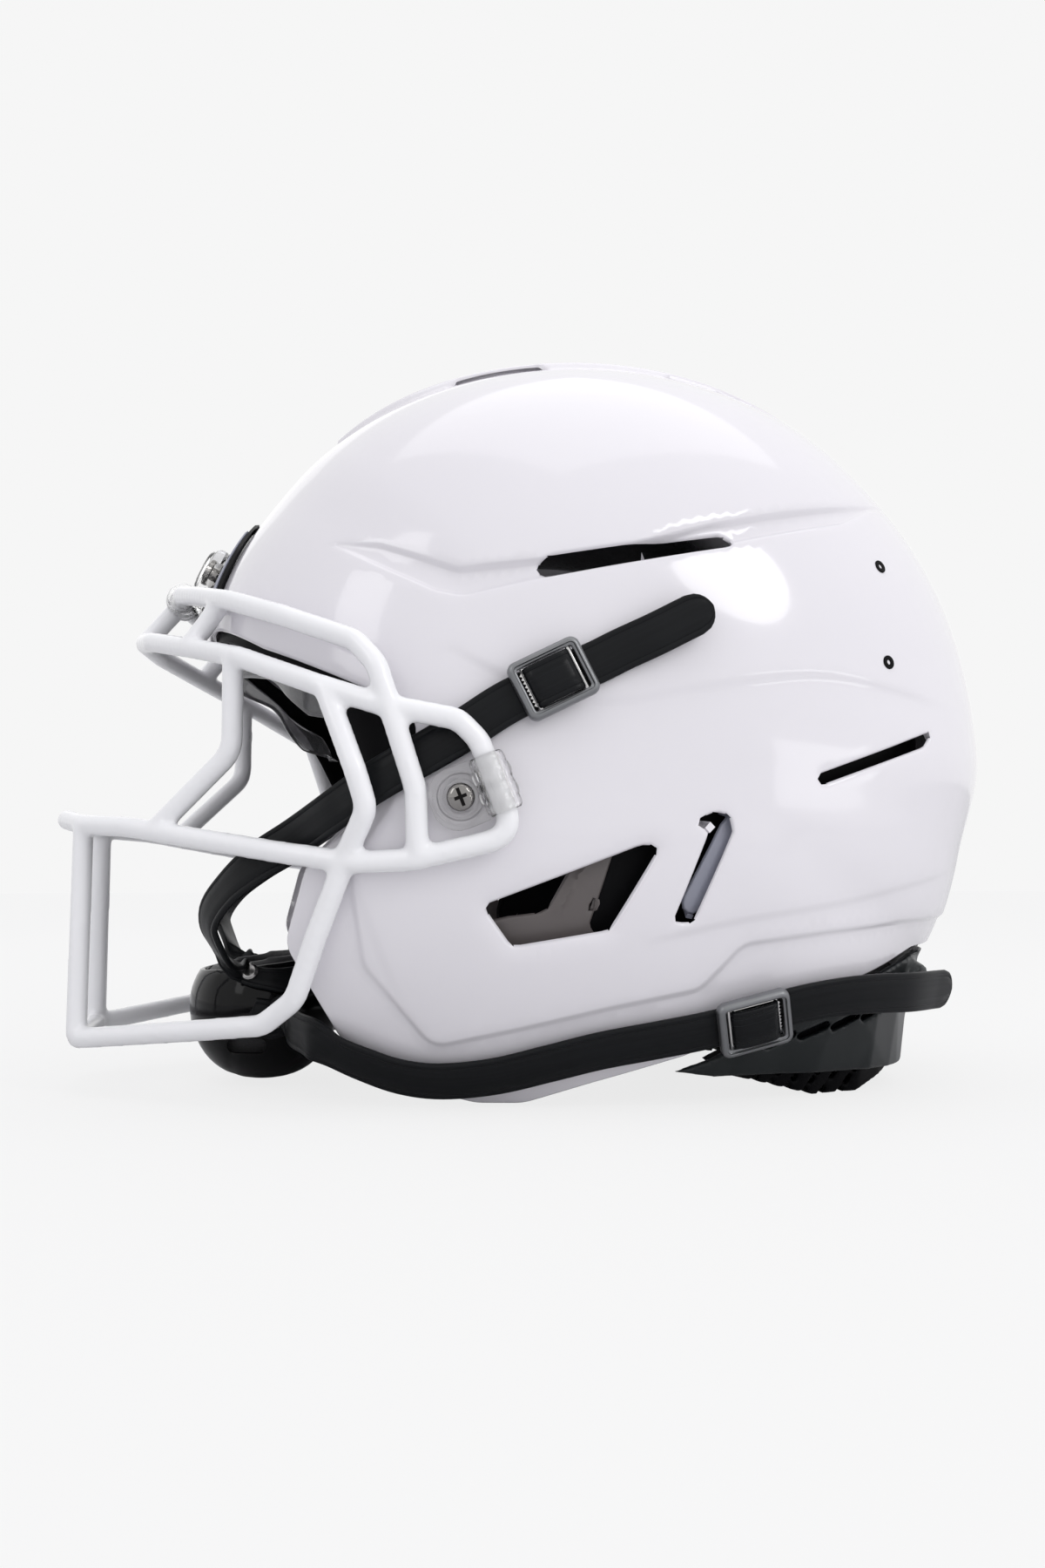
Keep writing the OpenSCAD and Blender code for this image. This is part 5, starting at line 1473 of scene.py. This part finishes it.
def pulled(bm, loop, way):
    """Adds a solid: the loop's face drawn out along the way."""
    base = bm.faces.new([bm.verts.new(p) for p in loop])
    made = bmesh.ops.extrude_face_region(bm, geom=[base])
    moved = [g for g in made["geom"] if isinstance(g, bmesh.types.BMVert)]
    bmesh.ops.translate(bm, vec=way, verts=moved)


def plate_block(half_x, y_low, y_high, r, z_low, z_high, soft):
    """Plate with round corners and soft edges."""
    bm = bmesh.new()
    rim = rounded_rectangle(half_x, (y_high - y_low) / 2, r)
    pulled(bm, [(x, y + (y_low + y_high) / 2, z_low) for x, y in rim], (0, 0, z_high - z_low))
    bmesh.ops.recalc_face_normals(bm, faces=bm.faces)
    edges = [e for e in bm.edges if e.calc_face_angle(0) > 1.0]
    bmesh.ops.bevel(bm, geom=edges, offset=soft, segments=3, profile=0.5, affect="EDGES", material=-1,
                    clamp_overlap=True)
    return bm


def along_x(bm, reach, rise):
    """Turned part laid along X, at the wire's place in the clip's own frame."""
    bmesh.ops.rotate(bm, cent=(0, 0, 0), matrix=Matrix.Rotation(math.pi / 2, 3, "Y"), verts=bm.verts)
    bmesh.ops.translate(bm, vec=(0, -reach, rise), verts=bm.verts)
    return bm


def wrap_tube(reach, rise, half, ribs, r_out=6.6, swell=0.45):
    """Ribbed wrap round the wire, along X."""
    outer = []
    for k in range(ribs * 8 + 1):
        x = -half + 2 * half * k / (ribs * 8)
        outer.append((r_out + swell * math.cos(2 * math.pi * k / 8) - 1.6 * (abs(x) / half) ** 8, x))
    return along_x(turned([(BORE_R, -half)] + outer + [(BORE_R, half), (BORE_R, -half)]), reach, rise)


def ring_boss(base, inner, outer, height):
    """Raised ring with soft edges round the screw."""
    return turned([(inner, base), (inner, base + height - 0.5), (inner + 0.4, base + height),
                   (outer - 0.6, base + height), (outer, base + height - 0.6), (outer, base), (inner, base)])


print("points round a plate:", len(rounded_rectangle(10.8, 12.55, 9.0)))

# %% [markdown]
# The parts of a clip are put in their place one after another and joined to the plate. The
# wire's passage is cut last, when the clip is one solid, so its wall runs clean through both
# the plate and the wrap.

# %% The three clips
def clip(name, parts, seat, axes, wire, side=1):
    """Union of the parts, with the wire's passage cut out."""
    plate = put(parts[0], seat, axes, side)
    obj = piece("clear_" + name, plate, CLEAR, stands_for=(name,))
    for part in parts[1:]:
        cut_away(obj, put(part, seat, axes, side), 32, "UNION")
    bore = along_x(turned([(0, -30), (BORE_R, -30), (BORE_R, 30), (0, 30)]), *wire)
    return cut_away(obj, put(bore, seat, axes, side), 32)


for side, word in ((1, "left"), (-1, "right")):
    parts = [plate_block(10.8, -14.5, 10.6, 9.0, 1.6, 4.6, 0.8), ring_boss(4.0, 5.9, 8.2, 2.5),
             wrap_tube(*SIDE_WIRE, 10.2, 3, swell=0.3)]
    print("side clip:", clip("side_clip_" + word, parts, SIDE_SEAT, SIDE_AXES, SIDE_WIRE, side))
parts = [plate_block(11, -13.5, 11, 8.5, 2.9, 9.6, 2.6), ring_boss(8.5, 6.2, 9.2, 2.6),
         plate_block(9, -17, -8, 4, 3.4, 12.5, 2.6), wrap_tube(*FRONT_WIRE, 10, 3)]
print("front clip:", clip("front_clip", parts, FRONT_SEAT, FRONT_AXES, FRONT_WIRE))

# %% [markdown]
# Each buckle is a die-cast frame with a low step round its window. One section, swept round
# a rectangle with round corners, gives the frame with its step and its soft outer edge. The
# strap folds over the bail in the window, with more gloss where it is stretched.

# %% Places of the buckles
# For each level the window's middle and the frame's own x, y and z
BUCKLES = {"upper": ((117.793, -10, 149), (0.0401, 0.8948, 0.4446), (-0.0781, -0.4408, 0.8942),
                     (0.9961, -0.0706, 0.0521)),
           "lower": ((103.563, 64, 33), (0.0035, 0.9721, 0.2344), (0.4048, -0.2157, 0.8886),
                     (0.9144, 0.0918, -0.3943))}


def from_buckle(level_name, side, p):
    """Row-frame place of a point in a buckle's own frame."""
    seat, x, y, z = (np.array(v) for v in BUCKLES[level_name])
    q = seat + x * p[0] + y * p[1] + z * p[2]
    return (side * q[0], q[1], q[2])


FRAME_SECTION = [(0.0, 4.5), (0.25, 4.3), (2.4, 4.3), (2.8, 4.7), (2.8, 6.6), (2.62, 7.3), (2.1, 7.9),
                 (1.5, 8.2), (1.05, 8.2), (0.92, 8.05), (0.88, 7.4), (0.74, 7.25), (0.2, 7.2), (0.0, 7.0)]
FOLD_LINE = [(-7.0, 6.5), (-6.9, 7.2), (-5.8, 7.62), (-3.5, 7.85), (0, 7.95), (3.5, 7.85), (5.8, 7.62),
             (6.9, 7.2), (7.0, 6.5)]
for level_name, word in ENDS:
    side = 1 if word == "left" else -1
    loops = [rounded_rectangle(10.7 + d, 8.0 + d, 1.1 + 0.75 * d) for d, _ in FRAME_SECTION]
    n, m = len(loops[0]), len(FRAME_SECTION)
    bm, spots = grid(n, m)
    for v, u, w in spots:
        i, j = int(round(u * n)) % n, int(round(w * m)) % m
        v.co = from_buckle(level_name, side, (*loops[j][i], FRAME_SECTION[j][1]))
    node = "%s_buckle_%s" % (level_name, word)
    piece("frame_" + node, bm, PEWTER, body_name(node), 40, stands_for=(node,))
    centres = [from_buckle(level_name, 1, (x, 0, z - 0.4)) for x, z in FOLD_LINE]
    bx, bz = (np.array(BUCKLES[level_name][k]) for k in (1, 3))
    outs = [bz + bx * 0.12 * np.sign(x) * (abs(x) / 7) ** 4 for x, _ in FOLD_LINE]
    bm = strap_mesh(centres, outs, [14.8] * len(FOLD_LINE), 1.9, side)
    node = "%s_loop_%s" % (level_name, word)
    piece("fold_" + node, bm, FOLD, body_name(node), 50, stands_for=(node,))
print("buckles and folds: 4 each")

# %% [markdown]
# The guard under the rear edge and the ribbed pad behind it are moulded with soft edges all
# over. A copy of each CAD solid is remeshed to small even faces and then smoothed, which
# rounds every edge by about a millimetre, as the release from a mould does.

# %% Guard and nape pad
MOULD_VOXEL, MOULD_ROUNDS = 1.0, 4
for node, material, slot in (("rear_guard", GUARD, "black_plastic"), ("rear_pad", RUBBER, "rubber")):
    obj = piece("moulded_" + node, copy_of(node), material, body_name(node), 50, tidy=False,
                stands_for=(node,))
    print(node, "faces:", remeshed(obj, MOULD_VOXEL, MOULD_ROUNDS))

# %% [markdown]
# The bumper on the forehead is a small gloss plate under the front clip. A grid laid on the
# dome takes its shape, with the edges turned down, and gets its thickness from a solidify.

# %% Forehead bumper and its bright strips
# Half of the bumper's breadth in degrees, at directions from its lower to its upper edge
BUMPER_A = np.array([161.5, 158, 154, 150, 147, 145])
BUMPER_B = np.array([15, 14.5, 12.5, 9.5, 6.5, 3.5])


def dome_plate(b_from, b_to, a_from, a_to, lift, columns, rows, edge):
    """Grid on the dome with its edges turned down, b as shares of the bumper's breadth."""
    bm, spots = grid(columns, rows)
    for v, u, w in spots:
        a = a_from + (a_to - a_from) * w
        half = float(np.interp(-a, -BUMPER_A, BUMPER_B))
        b = half * (b_from + (b_to - b_from) * u)
        near = min(u, 1 - u) * (b_to - b_from) * half * 2.6, min(w, 1 - w) * abs(a_to - a_from) * 2.8
        d = float(curl(np.array(min(near)), edge))
        v.co = tuple(map(float, skin(a, b, lift - d)))
    return bm


def plate_piece(name, bm, material, node, thick):
    """Open grid made a plate on the brow, its faces turned away from the dome's centre."""
    obj = piece(name, bm, material, stands_for=(node,))
    heart = Vector((0, CENTRE_Y * MM, CENTRE_Z * MM))
    if sum(p.normal.dot(p.center - heart) for p in obj.data.polygons) < 0:
        obj.data.flip_normals()
    return thicken(obj, thick, 40)


bm = dome_plate(-1, 1, 161.5, 145, 2.6, 48, 40, 1.2)
print("bumper faces:", plate_piece("forehead_bumper", bm, PIANO, "front_bumper", 2.1))
for side, word in ((1, "left"), (-1, "right")):
    bm = dome_plate(side * 0.72, side * 0.94, 158, 147, 3.5, 8, 24, 0.5)
    print("strip faces:", plate_piece("bumper_strip_" + word, bm, INLAY, "bumper_inlay", 0.7))

# %% [markdown]
# The chin cup is a thick bowl of gloss plastic. Its section runs from the bottom up the
# outside, over a rounded lip and down the inside, and is swept round the bowl. A seam runs
# over it in front, where the two halves of the tool met, and a slot vents each side.

# %% Chin cup
CUP_WALL = 2.4
lip = [(t, 0.0) for t in np.linspace(-86, 33, 22)] + [(34.2, 0.35), (34.6, 1.2), (34.2, 2.05)] \
    + [(t, CUP_WALL) for t in np.linspace(33, -86, 20)]
bm = bowl(72, lip)
for v in bm.verts:
    d = abs(v.co.y + 121.5 + 0.10 * (v.co.z - CUP_Z))
    v.co -= v.normal * 0.5 * float(1 - step(np.array(d / 1.4)))
cup = piece("chin_cup_bowl", bm, PIANO, sharp=60, stands_for=("chin_cup",))
bm = bmesh.new()
slot_line = round_corners([(-121, 14), (-106, 14), (-106, 20), (-121, 20)], 2.8, 5)
for side in (1, -1):
    pulled(bm, [(side * 12, y, z) for y, z in slot_line], (side * 48, 0, 0))
bmesh.ops.recalc_face_normals(bm, faces=bm.faces)
cut_away(cup, bm, 50)
print("chin cup faces:", len(cup.data.polygons))

# %% [markdown]
# The liner's pads are foam in a thin black cover, swollen a little by air. Each starts as a
# block bent to the dome, is remeshed to an even skin and is then blown up by the Cloth
# simulation with no gravity, so its faces crown and its corners draw in by themselves. The
# movement is capped, so that a pad stays in the room that its CAD solid holds.

# %% Cover of the pads
def cover_finish(name, dark, light, rough, cell):
    """Finish with a knit of small cells over the shared grain, and a little sheen."""
    mat = finish(name, dark, light, rough, 0.12, 22.0, 1400.0, 0.5, 0.08)
    n, l = mat.node_tree.nodes, mat.node_tree.links
    bsdf = n["Principled BSDF"]
    where, knit = n.new("ShaderNodeTexCoord"), n.new("ShaderNodeTexVoronoi")
    knit.inputs["Scale"].default_value = cell
    l.new(where.outputs["Object"], knit.inputs["Vector"])
    hit = n.new("ShaderNodeBump")
    hit.inputs["Strength"].default_value = 0.5
    hit.inputs["Distance"].default_value = 0.25 * MM
    l.new(knit.outputs["Distance"], hit.inputs["Height"])
    old = bsdf.inputs["Normal"].links[0].from_socket
    l.new(old, hit.inputs["Normal"])
    l.new(hit.outputs["Normal"], bsdf.inputs["Normal"])
    bsdf.inputs["Sheen Weight"].default_value = 0.25
    return mat


COVER = cover_finish("knit_pad_cover", (0.010, 0.010, 0.011), (0.022, 0.022, 0.024), 0.62, 900.0)
VINYL = cover_finish("vinyl_pad_cover", (0.016, 0.016, 0.017), (0.03, 0.03, 0.032), 0.42, 500.0)
print("finishes with the covers:", len(bpy.data.materials))

# %% [markdown]
# A pad could be a block with a bevel, but it would look like wood. Air and stitching are what
# give a real one its form, so air is what shapes it here.

# %% Blow up a pad
def blow_up(obj, cap, pressure=4.0, voxel=5.0, frames=20):
    """Even skin, then Cloth with pressure, no point moving more than the cap in mm."""
    skin_mod = obj.modifiers.new("skin", "REMESH")
    skin_mod.mode = "VOXEL"
    skin_mod.voxel_size = voxel * MM
    settle(obj, 180)
    start = [v.co.copy() for v in obj.data.vertices]
    cloth = obj.modifiers.new("air", "CLOTH")
    cloth.settings.use_pressure = True
    cloth.settings.uniform_pressure_force = pressure
    cloth.settings.effector_weights.gravity = 0
    cloth.settings.quality = 4
    cloth.point_cache.frame_start = 1
    cloth.point_cache.frame_end = frames
    for f in range(1, frames + 1):
        scene.frame_set(f)
    settle(obj, 180)
    scene.frame_set(1)
    for v, p in zip(obj.data.vertices, start):
        move = v.co - p
        if move.length > cap * MM:
            v.co = p + move * (cap * MM / move.length)
    calm = obj.modifiers.new("calm", "SMOOTH")
    calm.factor = 0.5
    calm.iterations = 2
    fine = obj.modifiers.new("fine", "SUBSURF")
    fine.levels = fine.render_levels = 1
    settle(obj, 180)


PAD_LIFT = -5.4


def cushion(name, node, a0, a1, b0, b1, thick, cap, cells, side=1, edge=5.0, material=COVER, voxel=5.0):
    """Pad bent to the dome between two directions and two turns."""
    bm = bmesh.new()
    bmesh.ops.create_cube(bm, size=2.0)
    for axis, count in enumerate(cells):
        edges = [e for e in bm.edges if abs((e.verts[0].co - e.verts[1].co)[axis]) > 1.9]
        bmesh.ops.subdivide_edges(bm, edges=edges, cuts=count - 1, use_grid_fill=True)
    for v in bm.verts:
        u, w, h = (v.co.x + 1) / 2, (v.co.y + 1) / 2, (v.co.z + 1) / 2
        crown = math.sqrt(max(0, 1 - abs(2 * u - 1) ** 4)) * math.sqrt(max(0, 1 - abs(2 * w - 1) ** 4))
        k = 0.09 * h * (1 - crown) + 0.02
        a = a0 + (a1 - a0) * (u + (0.5 - u) * k)
        b = b0 + (b1 - b0) * (w + (0.5 - w) * k)
        deep = PAD_LIFT - h * (edge - 1.5 + (thick - edge) * crown)
        p = skin(a, b, deep)
        v.co = (side * float(p[0]), float(p[1]), float(p[2]))
    obj = piece(name, bm, material, sharp=180, stands_for=(node,))
    blow_up(obj, cap, voxel=voxel)
    return obj


cushion("brow_cushion", "brow_pad", 152, 161.2, -58, 58, 15.5, 1.2, (5, 26, 3), edge=6, voxel=4.5)
cushion("crown_cushion", "crown_pad", 62, 122, -29, 29, 22, 1.6, (14, 10, 4))
cushion("nape_cushion", "back_pad", -16, 50, -27, 27, 18.5, 1.6, (14, 10, 4))
for side, word in ((1, "left"), (-1, "right")):
    cushion("side_cushion_" + word, "side_pad_" + word, 32, 138, 35, 58, 18.5, 1.6, (26, 9, 4), side)
    cushion("jaw_cushion_" + word, "jaw_pad_" + word, 206, 238, 55, 67, 20.5, 1.6, (14, 9, 4), side, 6.0,
            material=VINYL)
print("liner pads: 7")

# %% [markdown]
# The chin cup's own pad is a cloth cup inside the plastic one. It stands a little above the
# lip, where its padded edge shows.

# %% Pad in the chin cup
ring = [(t, 0.0) for t in np.linspace(-84, 45, 12)] + [(47.0, 0.8), (48.0, 2.4), (47.0, 4.0)] \
    + [(t, 4.7) for t in np.linspace(45, -84, 12)]
bm = bowl(40, ring, inset=3.1)
cup_pad = piece("chin_cup_pad", bm, COVER, sharp=180, stands_for=("chin_pad",))
blow_up(cup_pad, 0.4, pressure=1.0, voxel=2.2, frames=8)
print("chin pad faces:", len(cup_pad.data.polygons))

# %% [markdown]
# Some thin sheets show through the mask and the openings. Each is a patch of the same dome, a
# few millimetres further in, so the tools that made the shell make them too: its outline is
# drawn in the side view, filled, mirrored, and given its thickness.

# %% Sheet pieces on the dome
def dome_sheet(outline, holes, lift, gap=3.2, edge=1.1, extra=None):
    """bmesh of a patch of the dome, with rounded edges and an optional extra height."""
    runs = [(r, False) for r in lifted(outline, True)] + [(lifted(h, True)[0][:-1], True) for h in holes]
    rows = [(rim_line_points(gap), True)] + runs + edge_rows(runs, (0.3, 0.7, 1.15))
    points, tris = fill_sheet(rows, lambda yz, x: between(yz, outline, holes), gap)
    used = np.unique(tris)
    high = np.full(len(points), float(lift))
    high[used] -= curl(nearest(points[used], runs), edge)
    if extra is not None:
        high[used] += extra(points[used])
    moved = points + high[:, None] * normals(points)
    moved[points[:, 0] == 0, 0] = 0.0
    return both_halves(sheet_mesh(moved, tris))


def sheet_piece(name, bm, material, thick, sharp=45, even=True):
    """Sheet given its thickness and a name. It stands for no CAD node."""
    print(name, "faces:", thicken(piece(name, bm, material, tidy=False), thick, sharp, even))


print("sheet maker ready")

# %% [markdown]
# Under the brow a black rubber gasket closes the gap between the shell and the brow pad. It
# is a band that follows the shell's lower edge, and sticks out a little below it.

# %% Brow gasket
gasket_line = round_corners([(-150, 184), (-128, 182), (-109, 170), (-74, 153), (-50, 141), (-48, 110),
                             (-70, 110), (-78, 122), (-86, 136), (-94, 148), (-109, 160.5), (-128, 173.5),
                             (-150, 176)], 3.0)
sheet_piece("brow_gasket", dome_sheet(gasket_line, [], -4.5), RUBBER, 3.0)

# %% [markdown]
# A smoky clear flap with a wavy edge hangs from the gasket and guards the pad. Its waves run
# round the brow and grow toward the free edge, so they are added as an extra height.

# %% Smoky flap
flap_line = round_corners([(-150, 171.5), (-128, 169), (-109, 156), (-90, 148), (-84, 138), (-100, 141),
                           (-112, 150), (-120, 157), (-130, 160), (-150, 163)], 4.0)


def flap_waves(p):
    """Waves that run round the brow, deeper toward the free edge."""
    low = np.clip((168 - p[:, 2] - np.clip(-p[:, 1] - 105, -20, 0) * -0.6) / 14, 0, 1)
    return -2.6 * low * (1 + np.cos(p[:, 0] / 9.0))


bm = dome_sheet(flap_line, [], -11.0, gap=2.0, extra=flap_waves)
sheet_piece("brow_flap", bm, SMOKE, 1.4, 60)

# %% [markdown]
# Behind the ear opening stands a grey-brown bracket that carries the jaw pad. Further in, the
# liner closes the view in black, both there and behind the rear vent. A pale flange stiffens
# the rear side of the J-shaped vent. The sheet behind the rear vent has some very thin
# triangles, which an even wall would throw far out, so it gets a plain one.

# %% Bracket, flange and black liner
bracket_line = round_corners([(-2.5, 84), (-10, 69.6), (-13, 68), (-24, 66.5), (-38, 63), (-38, 52),
                              (12, 52), (5.3, 63.6), (13, 89), (18, 106), (5, 104)], 1.6)
bracket_hole = round_corners([(7.4, 75.4), (4.3, 69.4), (6.3, 68.3)], 0.7, 3)


def bracket_folds(p):
    """A pressed rib beside the bracket's front edge."""
    front = np.interp(p[:, 2], [66, 84, 106], [-8, 2, 12])
    return 1.2 * np.exp(-((p[:, 1] - front) / 1.1) ** 2) * step((p[:, 2] - 66) / 6)


bm = dome_sheet(bracket_line, [bracket_hole], -8.0, gap=1.5, extra=bracket_folds)
sheet_piece("ear_bracket", bm, BRACKET, 1.6)
liner_line = round_corners([(3, 54), (3, 63), (11, 88), (16, 106), (24, 114), (68, 114), (62, 60),
                            (40, 54)], 4.0)
sheet_piece("rear_liner", dome_sheet(liner_line, [], -12.0, gap=5.0), RUBBER, 1.2)
back_line = round_corners([(80, 109), (84, 127), (136, 145), (147, 141), (145, 126), (92, 106)], 5.0)
bm = dome_sheet(back_line, [], -12.0, gap=4.0)
bmesh.ops.dissolve_degenerate(bm, dist=0.12, edges=bm.edges)
sheet_piece("rear_vent_liner", bm, RUBBER, 1.2, even=False)
flange_line = round_corners([(51.2, 100.5), (44.3, 87), (37.4, 73.5), (38, 70), (41, 67.5), (46, 70),
                             (60, 99), (56, 106)], 1.2)
sheet_piece("vent_flange", dome_sheet(flange_line, [], -4.8, gap=1.6), INLAY, 1.6)

# %% [markdown]
# Every CAD node has a finish slot in its record. The nodes get the same finishes as the
# pieces made here, so that a node shown by itself still looks like its part.

# %% Finish for every CAD node that stays
slots = {"shell_plastic": SHELL, "black_gloss": PIANO, "inlay": INLAY, "black_plastic": GUARD,
         "rubber": RUBBER, "pad_cover": RUBBER, "cup_fabric": RUBBER, "mask_coat": COAT,
         "clear_clip": CLEAR, "screw_steel": STEEL, "snap_metal": STEEL, "buckle_metal": PEWTER,
         "bail_wire": WIRE, "webbing": WEBBING}
slot_of = {s["node"]: s["material_slot"] for s in frame["record"]["subparts"]}
for name, node in frame["nodes"].items():
    node.data.materials.clear()
    node.data.materials.append(slots[slot_of[name]])
print("CAD nodes given a finish:", len(frame["nodes"]))
